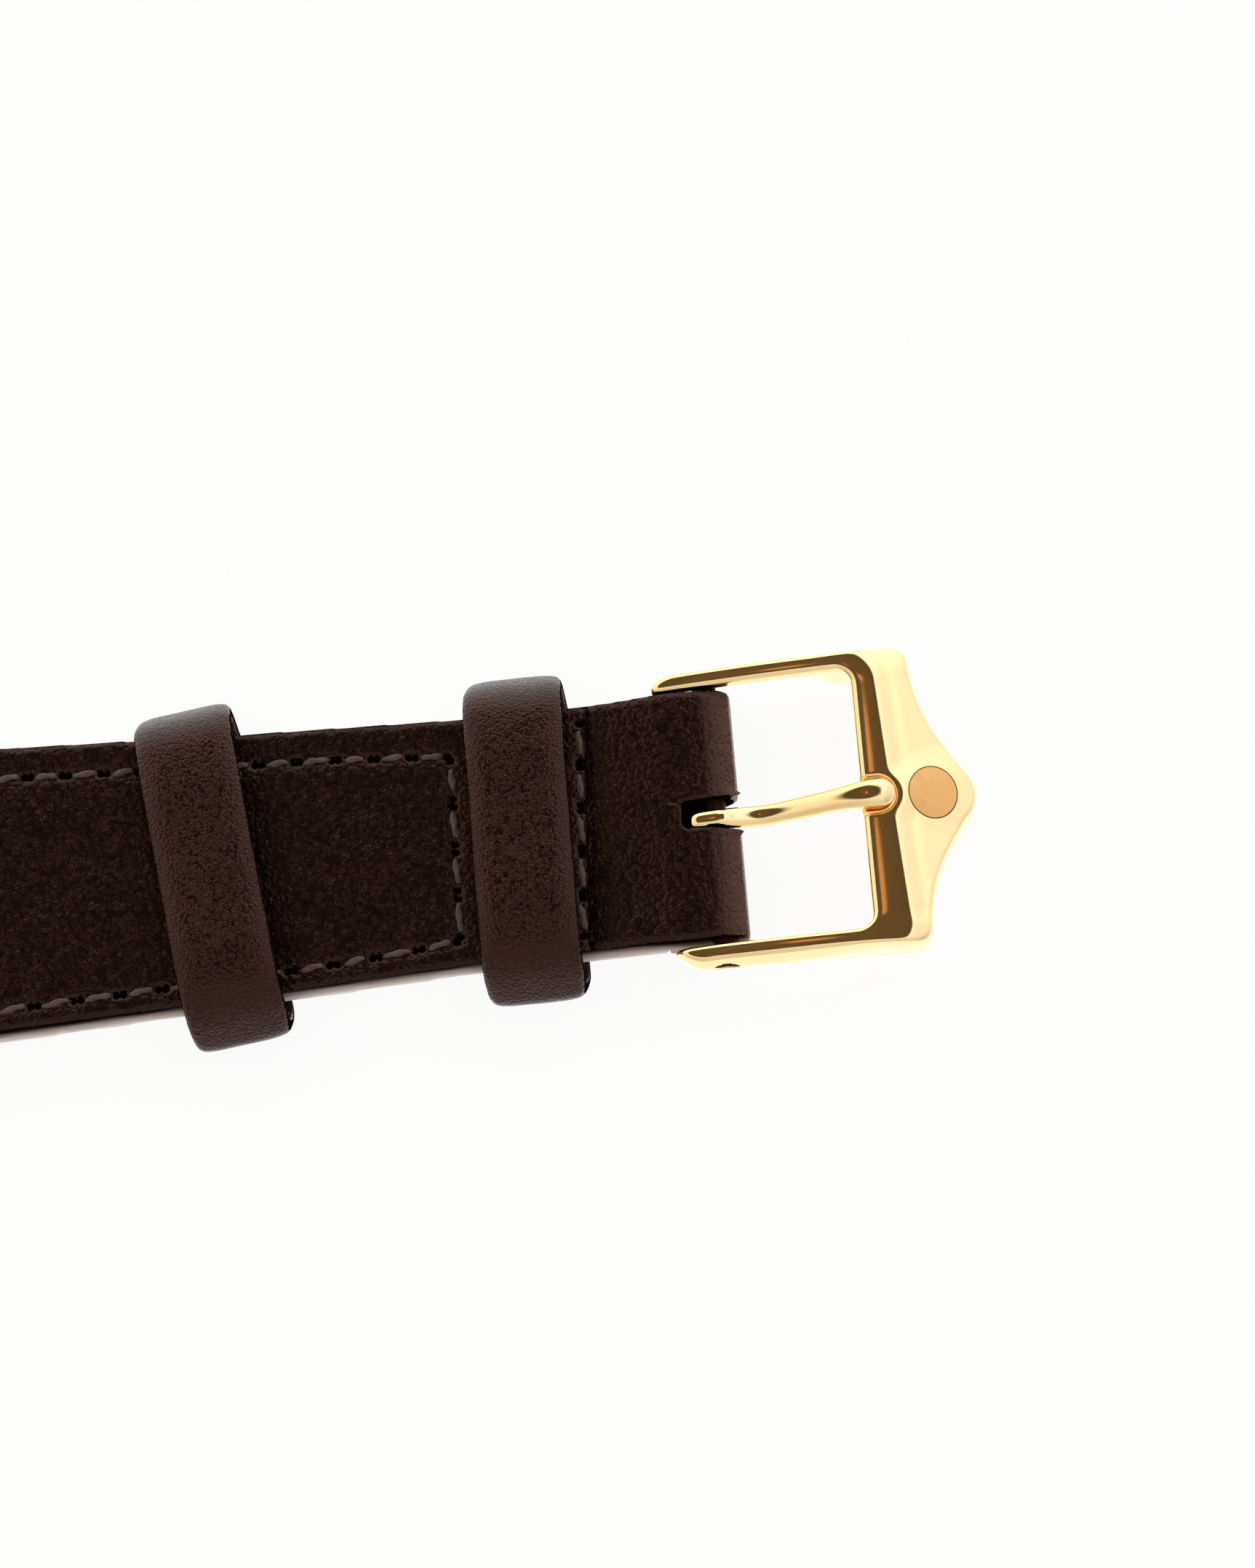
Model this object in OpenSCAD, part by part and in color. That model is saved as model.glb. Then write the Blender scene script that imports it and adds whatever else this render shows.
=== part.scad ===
// Wristwatch on a two-piece leather strap with a tang buckle, laid open and flat.
// +Y runs to 12 o'clock and the buckle, +X to the crown, +Z out of the dial.
// The origin is the middle of the case back's flat face. Millimetres.

/* [Case] */
// Diameter of the round case
case_d = 39; // [38.6:0.1:39.4]
// Height of the case body's top face above the table
case_top = 6.6; // [6.5:0.05:6.7]
// Clear gap between a pair of lugs
lug_gap = 20.2; // [20:0.1:20.6]
// Distance from the dial's middle to each spring bar
bar_reach = 22; // [21.9:0.05:22.3]
// Height of the spring bars above the table
bar_z = 3.2; // [3.2:0.05:3.4]
// Radius of the fluted crown
crown_r = 2.6; // [2.3:0.1:2.7]

/* [Strap] */
// Strap width at the lugs
strap_w_lug = 19.8; // [19.4:0.1:19.8]
// Strap width at the buckle
strap_w_end = 16; // [15.6:0.1:16]
// Length of the buckle half, from its lug end to its buckle end
short_len = 77; // [76:0.5:79]
// Length of the half with the holes, from its lug end to its tip
long_len = 115; // [110:1:120]
// Thickness of the strap where it turns over the spring bar
strap_t_lug = 4; // [3.8:0.1:4]
// Thickness of the strap under the keepers
strap_t_mid = 2.6; // [2.4:0.1:2.7]
// Thickness of the strap where it turns over the buckle pin
strap_t_end = 3.2; // [3:0.1:3.2]
// Thickness of the strap at its tip
strap_t_tip = 1.8; // [1.6:0.1:1.9]
// Thickness of the lining leather
lining_t = 1; // [0.8:0.1:1]
// Number of adjusting holes
hole_count = 7; // [5:1:8]
// Distance between adjusting holes
hole_pitch = 6.5; // [6:0.1:7]

/* [Keepers] */
// Length of each keeper along the strap
keeper_len = 6.3; // [5.5:0.1:6.4]
// Thickness of the keepers' folded leather
keeper_wall = 1.05; // [0.95:0.05:1.05]
// Room above the strap for the other half's tail
keeper_room = 1.9; // [1.9:0.1:2.6]
// Angle at which the loose keeper sits across the strap
free_skew = 5.3; // [0:0.1:5.5]

/* [Buckle] */
// Radius of the pin that carries the buckle and the tongue
pin_r = 0.75; // [0.7:0.05:0.75]
// Reach of the buckle's nose past the pin
nose_reach = 16.5; // [16:0.1:17]
// Width across the buckle's front corners
front_w = 19.5; // [19.2:0.1:19.8]
// Depth of the window past the pin
window_reach = 9.3; // [9.2:0.1:9.6]
// Width of the tongue at its tip
tongue_w = 1.7; // [1.4:0.1:1.8]

/* [Hands] */
// Length of the minute hand from the middle
minute_len = 13.2; // [12:0.1:14]
// Length of the hour hand from the middle
hour_len = 8.8; // [8:0.1:9.5]

/* [Hidden] */
$fn = 96;

// Running clearance of every pivot, and a thin overlap for cuts
run = 0.05;
cut = 1;

// Case heights and radii
case_r = case_d / 2;
back_t = 1.2;
bore_r = 17;
flange_r = 16.2;
dial_t = 0.4;
dial_top = 5.3;
dial_r = bore_r - 0.1;
glass_r = 16.6;
glass_seat = case_top + 0.15;
glass_edge = 8.05;
glass_top = 8.75;
seal_t = 0.35;
bezel_bore = glass_r + seal_t;
lug_t = 2.7;
lug_hole_r = 0.45;
lug_hole_depth = 1.3;
bar_r = 0.75;
bar_tip_r = 0.4;
bar_tip_len = 1;

// Hands
hand_t = 0.15;
hour_z = 5.85;
minute_z = 6.2;
arbor_r = 0.7;
arbor_foot_r = 0.3;
arbor_top = 6.4;
tube_r = 1;

// Movement levels, from the case back up to the dial
plate_z = 3.6;
plate_t = 0.6;
plate_top = plate_z + plate_t;
plate_r = 13.2;
bridge_z = 1.7;
bridge_t = 0.5;
pivot_r = 0.2;
pivot_low = bridge_z + 0.2;
pivot_high = plate_z + 0.3;
wheel_t = 0.2;
slow_z = plate_top + 0.1;
fast_z = slow_z + 0.27;
centre_z = 2.87;
inter_z = 2.45;
stator_z = 2.8;
stator_t = 0.4;
core_t = 0.5;

// Teeth: the cannon pinion drives the minute wheel, whose pinion drives the hour wheel
cannon_teeth = 12;
minute_teeth = 36;
minute_pinion_teeth = 10;
hour_teeth = 40;
centre_teeth = 60;
inter_pinion_teeth = 10;
inter_teeth = 60;
rotor_teeth = 6;
train_module = 0.1;
cannon_module = 0.125;
hour_module = cannon_module * (cannon_teeth + minute_teeth) / (minute_pinion_teeth + hour_teeth);
minute_axis = [cannon_module * (cannon_teeth + minute_teeth) / 2, 0];
inter_reach = train_module * (centre_teeth + inter_pinion_teeth) / 2;
inter_axis = [-inter_reach * cos(45), -inter_reach * sin(45)];
rotor_axis = inter_axis - [train_module * (inter_teeth + rotor_teeth) / 2, 0];
stud_r = 0.3;

// Crown and stem, along +X
stem_z = 3.9;
stem_r = 0.45;
stem_in = 9.6;
neck_in = 10.4;
neck_out = 11;
neck_r = 0.3;
tube_in = 16.6;
tube_out = 20.6;
tube_outer_r = 1.3;
tube_bore_r = 0.6;
crown_in = 20;
crown_out = 23.2;
crown_recess_r = 1.45;
crown_recess_end = 21.3;
crown_stem_end = 22.2;
flute_count = 32;
flute_r = 0.16;
lever_t = 0.4;

// Strap lies with its lining one keeper wall above the table
strap_base = bar_z - strap_t_lug / 2;
lug_roll_r = strap_t_lug / 2;
end_roll_r = strap_t_end / 2;
short_end_y = bar_reach - lug_roll_r + short_len;
pin_y = short_end_y - end_roll_r;
pin_z = strap_base + end_roll_r;
strap_bore_r = bar_r + run;
parallel_y = 36;
taper_y = 79;
strap_span = 30;
slot_w = 2.3;
slot_len = 3.5;
lining_gap = 3.6;
tip_y = bar_reach - lug_roll_r + long_len;
tip_len = 14;
tail_taper_y = 80;
first_hole = 24;
hole_r = 1;
long_droop = asin((bar_z - lug_roll_r) / (long_len - lug_roll_r));

// Keepers
fixed_y = 83.5;
free_y = 63.4;
fixed_half = 10.4;
free_half = 10.75;
// Radii of a keeper's corners: [outside, inside]
keeper_top_round = [3.2, 1.8];
keeper_low_round = [2, 0.35];
fixed_shift = 0.23;
free_shift = 0.25;
keeper_height = keeper_wall * 2 + strap_t_mid + keeper_room + 0.3;

// Buckle, in its own frame with the pin at the origin
pin_hole_r = pin_r + 0.02;
arm_back = -3.1;
arm_inner = 8.2;
arm_outer = 9.6;
window_half = 8.5;
window_round = 1.3;
corner_y = 12.6;
nose_r = 2.3;
rim_top = 1.9;
rim_front = 1.35;
rim_y = 11.4;
crease_y = 12.4;
crease_top = 0.95;
nose_top = -0.25;
frame_low = -1.6;
bar_low = -1.95;
rest_y = 11.55;
rest_r = 1.2;
rest_floor = 1.15;
tongue_loop_r = 1.45;
tongue_loop_y = -0.1;
tongue_t = 0.9;
tongue_neck = 0.68 * tongue_w;
// Places on the tongue's middle line, seen from the side: behind the loop, lowest, highest, tip
tongue_root = [0.7, 0.91];
tongue_dip = [2.9, 0.55];
tongue_crest = [9.7, 1.85];
tongue_tip = [11.5, 1.58];

// Points on an arc round a centre, and on a cubic curve
function arc(c, r, from, to, n) =
    [for (i = [0:n]) c + r * [cos(from + (to - from) * i / n), sin(from + (to - from) * i / n)]];
function cubic(a, b, c, d, n) =
    [for (i = [0:n]) let (t = i / n, s = 1 - t)
        s * s * s * a + 3 * s * s * t * b + 3 * s * t * t * c + t * t * t * d];
function mirrored(points) = [for (i = [len(points) - 1:-1:0]) [-points[i][0], points[i][1]]];

module rounded_square(w, h, r) {
    square([w - 2 * r, h], center = true);
    square([w, h - 2 * r], center = true);
    for (x = [-1, 1], y = [-1, 1])
        translate([x * (w / 2 - r), y * (h / 2 - r)]) circle(r);
}

module ring(inner, outer, z, h) {
    translate([0, 0, z]) difference() {
        cylinder(r = outer, h = h);
        translate([0, 0, -cut]) cylinder(r = inner, h = h + 2 * cut);
    }
}

// A cylinder along +X from one place to another, at a height
module rod(r, from, to, z) {
    translate([from, 0, z]) rotate([0, 90, 0]) cylinder(r = r, h = to - from);
}

// A side profile, drawn as [along Y, up Z], made wide along X
module side_extrude(width) {
    rotate([90, 0, 90]) translate([0, 0, -width / 2]) linear_extrude(width) children();
}

// Wheel teeth with a little backlash
module gear(teeth, tooth_module, h) {
    pitch_r = teeth * tooth_module / 2;
    tip = pitch_r + 0.9 * tooth_module;
    root = pitch_r - 1.2 * tooth_module;
    step = 360 / teeth;
    outline = [for (i = [0:teeth - 1])
        for (p = [[root, -0.34], [pitch_r, -0.21], [tip, -0.09], [tip, 0.09], [pitch_r, 0.21], [root, 0.34]])
            p[0] * [cos((i + p[1]) * step), sin((i + p[1]) * step)]];
    linear_extrude(h) polygon(outline);
}

// Case and its covers
module lug_profile() {
    polygon(concat(
        [[11, 1.4], [18.4, 1.3]],
        arc([bar_reach + 0.3, bar_z], 2.1, -70, 78, 10),
        [[20.6, 5.9], [17.5, 6.5], [11, 6.55]]));
}

module case_body() {
    color("goldenrod") difference() {
        union() {
            rotate_extrude() polygon([
                [flange_r, case_top], [flange_r, dial_top], [bore_r, dial_top], [bore_r, back_t + 0.3],
                [bore_r + 0.4, back_t + 0.3], [bore_r + 0.4, back_t], [case_r - 0.9, back_t],
                [case_r - 0.2, 2], [case_r, 3.6], [case_r - 0.1, 5.2], [case_r - 0.6, case_top]]);
            intersection() {
                for (side = [-1, 1], turn = [0, 180])
                    rotate(turn) translate([side * (lug_gap + lug_t) / 2, 0, 0])
                        side_extrude(lug_t) lug_profile();
                ring(bore_r + 0.8, 40, 0, case_top);
            }
        }
        for (side = [-1, 1], turn = [0, 180])
            rotate(turn) translate([side * (lug_gap / 2 - cut), bar_reach, 0])
                rod_mirrored(lug_hole_r, lug_hole_depth + cut, side);
        rod(tube_outer_r, bore_r - cut, case_r + cut, stem_z);
    }
}

module rod_mirrored(r, length, side) {
    translate([0, 0, bar_z]) rotate([0, side * 90, 0]) cylinder(r = r, h = length);
}

module bezel() {
    color("gold") rotate_extrude() polygon([
        [bezel_bore, case_top], [case_r - 0.65, case_top], [case_r - 0.7, 7.2], [case_r - 1.3, 7.95],
        [case_r - 2, 8.3], [bezel_bore, 8.25]]);
}

module crystal() {
    dome = arc([0, glass_top - 197], 197, 90, 90 - asin(glass_r / 197), 12);
    color("lightcyan", 0.4) rotate_extrude()
        polygon(concat([[0, glass_seat], [0, glass_top]], [for (i = [1:12]) dome[i]], [[glass_r, glass_seat]]));
}

module crystal_gasket() {
    color("ivory") rotate_extrude() polygon([
        [flange_r, case_top], [bezel_bore, case_top], [bezel_bore, glass_edge - 0.1],
        [glass_r, glass_edge - 0.1], [glass_r, glass_seat], [flange_r, glass_seat]]);
}

module dial_ring() {
    color("wheat") rotate_extrude() polygon([
        [15.3, dial_top], [flange_r - 0.05, dial_top], [flange_r - 0.05, case_top], [15.9, case_top]]);
}

module dial() {
    color("ivory") ring(tube_r + 0.15, dial_r, dial_top - dial_t, dial_t);
}

module hour_markers() {
    color("gold") for (hour = [0:11])
        rotate(-30 * hour) for (x = hour == 0 ? [-0.62, 0.62] : [0])
            translate([x - 0.4, hour % 3 == 0 ? 11.4 : 12, dial_top])
                cube([0.8, hour % 3 == 0 ? 3.4 : 2.8, 0.3]);
}

module case_back() {
    color("silver") rotate_extrude() polygon([
        [0, 0], [15.5, 0], [17.4, 0.6], [bore_r + 0.9, back_t], [bore_r - run, back_t],
        [bore_r - run, 2.1], [16.3, 2.1], [16.3, back_t], [0, back_t]]);
}

module case_back_gasket() {
    color("dimgray") ring(bore_r + 0.02, bore_r + 0.38, back_t, 0.28);
}

// Hands, with a hub, a tapered blade and a short tail
module hand(length, tail, hub, hole, half_width) {
    linear_extrude(hand_t) difference() {
        union() {
            circle(hub);
            polygon([[0, -tail], [half_width * 0.7, 0], [half_width, length * 0.3], [0.06, length],
                [-0.06, length], [-half_width, length * 0.3], [-half_width * 0.7, 0]]);
        }
        circle(hole);
    }
}

module hour_hand() {
    color("gold") translate([0, 0, hour_z]) rotate(57) hand(hour_len, 2.4, 1.6, tube_r, 0.85);
}

module minute_hand() {
    color("gold") translate([0, 0, minute_z]) rotate(-54) hand(minute_len, 3, 1.4, arbor_r, 0.75);
}

// Motion work, between the main plate and the dial
module hour_wheel() {
    color("khaki") difference() {
        union() {
            translate([0, 0, fast_z]) gear(hour_teeth, hour_module, wheel_t);
            translate([0, 0, fast_z]) cylinder(r = tube_r, h = hour_z + hand_t - fast_z);
        }
        cylinder(r = arbor_r + run, h = 10);
    }
}

module centre_wheel() {
    color("khaki") {
        translate([0, 0, pivot_low]) cylinder(r = arbor_foot_r, h = centre_z - pivot_low);
        translate([0, 0, centre_z]) cylinder(r = arbor_r, h = arbor_top - centre_z);
        translate([0, 0, centre_z]) gear(centre_teeth, train_module, wheel_t);
        translate([0, 0, slow_z]) gear(cannon_teeth, cannon_module, wheel_t);
    }
}

module minute_wheel() {
    color("khaki") translate(minute_axis) difference() {
        union() {
            translate([0, 0, slow_z]) rotate(180 / minute_teeth) gear(minute_teeth, cannon_module, wheel_t);
            translate([0, 0, fast_z - 0.07]) rotate(180 / minute_pinion_teeth)
                gear(minute_pinion_teeth, hour_module, wheel_t + 0.07);
        }
        translate([0, 0, plate_top - cut]) cylinder(r = stud_r + run, h = 3);
    }
}

// Going train, between the train bridge and the main plate
module arbor(length_from, length_to) {
    translate([0, 0, length_from]) cylinder(r = pivot_r, h = length_to - length_from);
}

module intermediate_wheel() {
    color("khaki") translate(inter_axis) {
        arbor(pivot_low, pivot_high);
        translate([0, 0, inter_z]) gear(inter_teeth, train_module, wheel_t);
        translate([0, 0, centre_z - 0.07]) rotate(45) gear(inter_pinion_teeth, train_module, 0.4);
    }
}

module rotor() {
    color("dimgray") translate(rotor_axis) {
        arbor(pivot_low, pivot_high);
        translate([0, 0, inter_z - 0.05]) rotate(180 / rotor_teeth) gear(rotor_teeth, train_module, 0.3);
        translate([0, 0, stator_z]) cylinder(r = 0.75, h = stator_t);
    }
}

pillars = [[4.4, -1.2], [-7.2, 1.2]];

module main_plate() {
    color("darkkhaki") difference() {
        union() {
            translate([0, 0, plate_z]) cylinder(r = plate_r, h = plate_t);
            translate(minute_axis) translate([0, 0, plate_z])
                cylinder(r = stud_r, h = fast_z + wheel_t - plate_z);
        }
        translate([0, 0, plate_z - cut]) cylinder(r = arbor_r + run, h = 4);
        for (place = [inter_axis, rotor_axis])
            translate(place) translate([0, 0, plate_z - cut]) cylinder(r = pivot_r + run, h = 4);
        translate([stem_in - 0.6, -1.4, plate_z - cut]) cube([plate_r, 2.8, 4]);
    }
}

module train_bridge() {
    color("silver") difference() {
        union() {
            translate([-1.4, -1.1, bridge_z]) linear_extrude(bridge_t) rounded_square(13.2, 6.2, 1);
            for (place = pillars)
                translate(place) translate([0, 0, bridge_z]) cylinder(r = 0.6, h = plate_z - bridge_z);
        }
        translate([0, 0, bridge_z - cut]) cylinder(r = arbor_foot_r + run, h = 2);
        for (place = [inter_axis, rotor_axis])
            translate(place) translate([0, 0, bridge_z - cut]) cylinder(r = pivot_r + run, h = 2);
        for (place = pillars) translate(place) translate([0, 0, bridge_z - cut]) cylinder(r = 0.35, h = 2.2);
    }
}

module bridge_screws() {
    color("steelblue") for (place = pillars) translate(place) {
        translate([0, 0, bridge_z - 0.3]) difference() {
            cylinder(r = 0.8, h = 0.3);
            translate([-cut, -0.1, -cut]) cube([2 * cut, 0.2, cut + 0.15]);
        }
        translate([0, 0, bridge_z]) cylinder(r = 0.35, h = 1.2);
    }
}

module stator() {
    color("slategray") translate([0, 0, stator_z]) linear_extrude(stator_t) difference() {
        union() {
            translate([-7.4, -6.9]) square([3.2, 5.7]);
            translate([-8.6, -6.9]) square([9.4, 1]);
            for (x = [-8.6, -0.1]) translate([x, -9.1]) square([0.9, 2.3]);
        }
        translate(rotor_axis) circle(0.9);
    }
}

module coil_core() {
    color("slategray") translate([-8.6, -9.1, stator_z - core_t]) cube([9.4, 1, core_t]);
}

module coil() {
    color("sienna") difference() {
        translate([-7.6, -8.6, stator_z - core_t / 2]) rotate([0, 90, 0]) cylinder(r = 1, h = 7.4);
        translate([-9, -9.1, stator_z - core_t]) cube([12, 1, core_t]);
    }
}

module circuit_board() {
    color("seagreen") translate([0, 0, plate_z - 0.3]) linear_extrude(0.3) intersection() {
        circle(12.4);
        translate([-14, 3.7]) square([28, 14]);
    }
}

module quartz_can() {
    color("silver") translate([-0.5, 8, plate_z - 1.2]) rotate([0, 90, 0]) cylinder(r = 0.9, h = 6);
}

module ic_chip() {
    color("black") translate([-5.2, 5.8, plate_z - 1.1]) cube([2.4, 2.4, 0.8]);
}

module battery() {
    color("lightgray") translate([6.3, -7.3, plate_z - 2.1]) {
        cylinder(r = 2.8, h = 0.3);
        translate([0, 0, 0.3]) cylinder(r = 3.4, h = 1.8);
    }
}

module movement_ring() {
    color("whitesmoke") difference() {
        ring(plate_r + 0.1, dial_r, 2.2, dial_top - dial_t - 2.2);
        translate([0, -1, stem_z - 0.7]) cube([30, 2, 1.4]);
    }
}

// Setting parts along the stem
module setting_lever() {
    mid = (neck_in + neck_out) / 2;
    color("steelblue") difference() {
        translate([mid - lever_t / 2, -1.2, 2.6]) cube([lever_t, 2.4, plate_top - 2.7]);
        translate([mid - cut, -neck_r - run, stem_z - neck_r - run]) cube([2 * cut, 2 * (neck_r + run), 2]);
    }
}

module stem() {
    color("silver") {
        rod(stem_r, stem_in, neck_in, stem_z);
        rod(neck_r, neck_in, neck_out, stem_z);
        rod(stem_r, neck_out, crown_stem_end, stem_z);
    }
}

module crown() {
    color("gold") difference() {
        rod(crown_r, crown_in, crown_out, stem_z);
        rod(crown_recess_r, crown_in - cut, crown_recess_end, stem_z);
        rod(stem_r, crown_in, crown_stem_end, stem_z);
        for (i = [0:flute_count - 1])
            translate([0, 0, stem_z]) rotate([360 * i / flute_count, 0, 0])
                rod(flute_r, crown_in - cut, crown_out - 0.35, crown_r);
    }
}

module crown_gasket() {
    color("dimgray") difference() {
        rod(crown_recess_r, tube_out + 0.25, crown_recess_end, stem_z);
        rod(stem_r, crown_in, crown_out, stem_z);
    }
}

module crown_tube() {
    color("goldenrod") difference() {
        rod(tube_outer_r, tube_in + 0.45, tube_out, stem_z);
        rod(tube_bore_r, tube_in - cut, tube_out + cut, stem_z);
    }
}

// A spring bar across a pair of lugs
module spring_bar() {
    body = lug_gap / 2 - 0.1;
    tip = lug_gap / 2 + bar_tip_len;
    color("silver") translate([0, bar_reach, 0]) {
        rod(bar_r, -body, body, bar_z);
        rod(bar_tip_r, -tip, tip, bar_z);
    }
}

module spring_bar_12() { spring_bar(); }

module spring_bar_6() { rotate(180) spring_bar(); }

// Buckle half of the strap
module short_plan() {
    end = strap_w_end / 2;
    lug = strap_w_lug / 2;
    right = [[lug, 10], [lug, parallel_y], [end + 0.1, taper_y], [end - 0.05, short_end_y + cut]];
    difference() {
        polygon(concat(right, mirrored(right)));
        translate([-slot_w / 2, short_end_y - slot_len]) square([slot_w, slot_len + 2 * cut]);
    }
}

module short_profile() {
    top = strap_base + strap_t_mid;
    polygon(concat(
        arc([bar_reach, bar_z], lug_roll_r, 270, 90, 24),
        [[32, strap_base + strap_t_lug - 0.2], [66, top], [fixed_y + 4, top],
         [pin_y - 3, strap_base + strap_t_end]],
        arc([pin_y, pin_z], end_roll_r, 90, -90, 24)));
}

module short_strap_body() {
    difference() {
        intersection() {
            side_extrude(strap_span) short_profile();
            linear_extrude(strap_span) short_plan();
        }
        translate([0, bar_reach, 0]) rod(strap_bore_r, -strap_span, strap_span, bar_z);
        translate([0, pin_y, 0]) rod(pin_r + run, -strap_span, strap_span, pin_z);
    }
}

module short_lining_space() {
    from = bar_reach + lining_gap;
    translate([-strap_span / 2, from, strap_base - cut])
        cube([strap_span, pin_y - lining_gap - from, lining_t + cut]);
}

module short_strap_upper() {
    color([0.16, 0.09, 0.07]) difference() {
        short_strap_body();
        short_lining_space();
    }
}

module short_strap_lining() {
    color([0.33, 0.2, 0.13]) intersection() {
        short_strap_body();
        short_lining_space();
    }
}

// Corners of a keeper's right side, seen along the strap, from its foot to its top
function keeper_side(half, low, high, low_r, top_r) = concat(
    arc([half - low_r, low + low_r], low_r, -90, 0, 8),
    arc([half - top_r, high - top_r], top_r, 0, 90, 12));

// A folded leather loop round the strap, standing on the table
module keeper(half) {
    outside = keeper_side(half, 0, keeper_height, keeper_low_round[0], keeper_top_round[0]);
    inside = keeper_side(half - keeper_wall, keeper_wall, keeper_height - keeper_wall,
        keeper_low_round[1], keeper_top_round[1]);
    rotate([90, 0, 0]) translate([0, 0, -keeper_len / 2]) linear_extrude(keeper_len) difference() {
        polygon(concat(outside, mirrored(outside)));
        polygon(concat(inside, mirrored(inside)));
    }
}

module fixed_keeper() {
    color([0.21, 0.13, 0.1]) translate([fixed_shift, fixed_y, strap_base - keeper_wall]) keeper(fixed_half);
}

module free_keeper() {
    color([0.21, 0.13, 0.1]) translate([free_shift, free_y, 0]) rotate(free_skew) keeper(free_half);
}

// Buckle
module buckle_plan() {
    front = front_w / 2;
    nose_mid = [0, nose_reach - nose_r];
    nose = arc(nose_mid, nose_r, 45, 90, 5);
    flank = cubic([front - 0.2, corner_y + 0.35], [6, 13.1], [3.7, 14.5], nose[0], 10);
    right = concat([[arm_outer, arm_back], [front, corner_y - 0.5], [front, corner_y]],
        flank, [for (i = [1:5]) nose[i]]);
    hole = concat([[arm_inner, arm_back - cut]],
        arc([window_half - window_round, window_reach - window_round], window_round, 0, 90, 8));
    difference() {
        polygon(concat(right, mirrored(right)));
        polygon(concat(hole, mirrored(hole)));
    }
}

module buckle_profile() {
    back_r = (rim_top - frame_low) / 2;
    front = nose_reach + 0.2;
    polygon(concat(
        arc([arm_back + back_r, (rim_top + frame_low) / 2], back_r, 270, 90, 16),
        [[rim_y, rim_front], [crease_y, crease_top], [front, nose_top], [front, bar_low + 0.35],
         [window_reach + 1.5, bar_low], [window_reach - 2, bar_low], [2, frame_low]]));
}

module buckle_frame() {
    color("gold") translate([0, pin_y, pin_z]) difference() {
        intersection() {
            translate([0, 0, -5]) linear_extrude(10) buckle_plan();
            side_extrude(strap_span) buckle_profile();
        }
        rod(pin_hole_r, -strap_span, strap_span, 0);
        translate([0, rest_y - rest_r, rest_floor]) linear_extrude(5) {
            circle(rest_r);
            translate([-rest_r, -5]) square([2 * rest_r, 5]);
        }
    }
}

module buckle_pin() {
    half = arm_outer - 0.25;
    color("silver") translate([0, pin_y, 0]) rod(pin_r, -half, half, pin_z);
}

// The tongue, as seen from the side: a loop on the pin, flat on top, and a bar that lies in the frame's rest
function tongue_middle() =
    let (third = [(tongue_crest[0] - tongue_dip[0]) / 3, 0],
        fall = cubic(tongue_root, tongue_root + [0.8, -0.16], tongue_dip - [0.7, 0], tongue_dip, 5),
        rise = cubic(tongue_dip, tongue_dip + third, tongue_crest - third, tongue_crest, 12),
        end = cubic(tongue_crest, tongue_crest + [0.6, 0], tongue_tip + [-0.5, 0.14], tongue_tip, 5))
    concat(fall, [for (i = [1:12]) rise[i]], [for (i = [1:5]) end[i]]);

module tongue_profile() {
    middle = tongue_middle();
    spine = [for (i = [len(middle) - 1:-1:0]) middle[i] + [0, tongue_t / 2]];
    belly = [for (p = middle) if (p[0] > tongue_loop_r + 0.1) p - [0, tongue_t / 2]];
    loop_at = [tongue_loop_y, 0];
    loop_top = [for (a = [76:8:172])
        loop_at + tongue_loop_r * [sign(cos(a)) * pow(abs(cos(a)), 0.56), pow(sin(a), 0.56)]];
    polygon(concat(loop_top, arc(loop_at, tongue_loop_r, 180, 345, 14), belly, spine));
}

module tongue_plan() {
    tip_mid = tongue_tip[0] - tongue_w / 2;
    right = [[tongue_neck / 2, -3], [tongue_neck / 2, tip_mid / 2], [tongue_w / 2, tip_mid]];
    polygon(concat(right, mirrored(right)));
    translate([0, tip_mid]) circle(tongue_w / 2);
}

module buckle_tongue() {
    color("gold") translate([0, pin_y, pin_z]) difference() {
        intersection() {
            side_extrude(tongue_w) tongue_profile();
            translate([0, 0, -5]) linear_extrude(10) tongue_plan();
        }
        rod(pin_r + run, -strap_span, strap_span, 0);
    }
}

// Half of the strap with the holes. It is drawn along +Y and turned to 6 o'clock
module long_plan() {
    end = strap_w_end / 2;
    lug = strap_w_lug / 2;
    edge = [[lug, 10], [lug, parallel_y], [end, tail_taper_y], [end, tip_y - tip_len]];
    point = cubic([end, tip_y - tip_len], [end - 0.3, tip_y - 5], [4.2, tip_y], [0, tip_y], 12);
    right = concat(edge, [for (i = [1:12]) point[i]]);
    difference() {
        polygon(concat(right, [for (i = [1:len(right) - 1]) mirrored(right)[i]]));
        for (i = [0:hole_count - 1]) translate([0, tip_y - first_hole - hole_pitch * i]) circle(hole_r);
    }
}

module long_profile() {
    base = -lug_roll_r;
    tip = tip_y - bar_reach;
    polygon(concat(
        arc([0, 0], lug_roll_r, 270, 90, 24),
        [[10, lug_roll_r - 0.2], [50, base + 2.4], [tip - 16, base + 2],
         [tip + cut, base + strap_t_tip], [tip + cut, base]]));
}

module long_strap_body() {
    translate([0, bar_reach, bar_z]) rotate([-long_droop, 0, 0]) difference() {
        intersection() {
            side_extrude(strap_span) long_profile();
            translate([0, -bar_reach, -10]) linear_extrude(strap_span) long_plan();
        }
        rod(strap_bore_r, -strap_span, strap_span, 0);
    }
}

module long_lining_space() {
    translate([0, bar_reach, bar_z]) rotate([-long_droop, 0, 0])
        translate([-strap_span / 2, lining_gap, -lug_roll_r - cut])
            cube([strap_span, long_len + 10, lining_t + cut]);
}

module long_strap_upper() {
    color([0.16, 0.09, 0.07]) rotate(180) difference() {
        long_strap_body();
        long_lining_space();
    }
}

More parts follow.
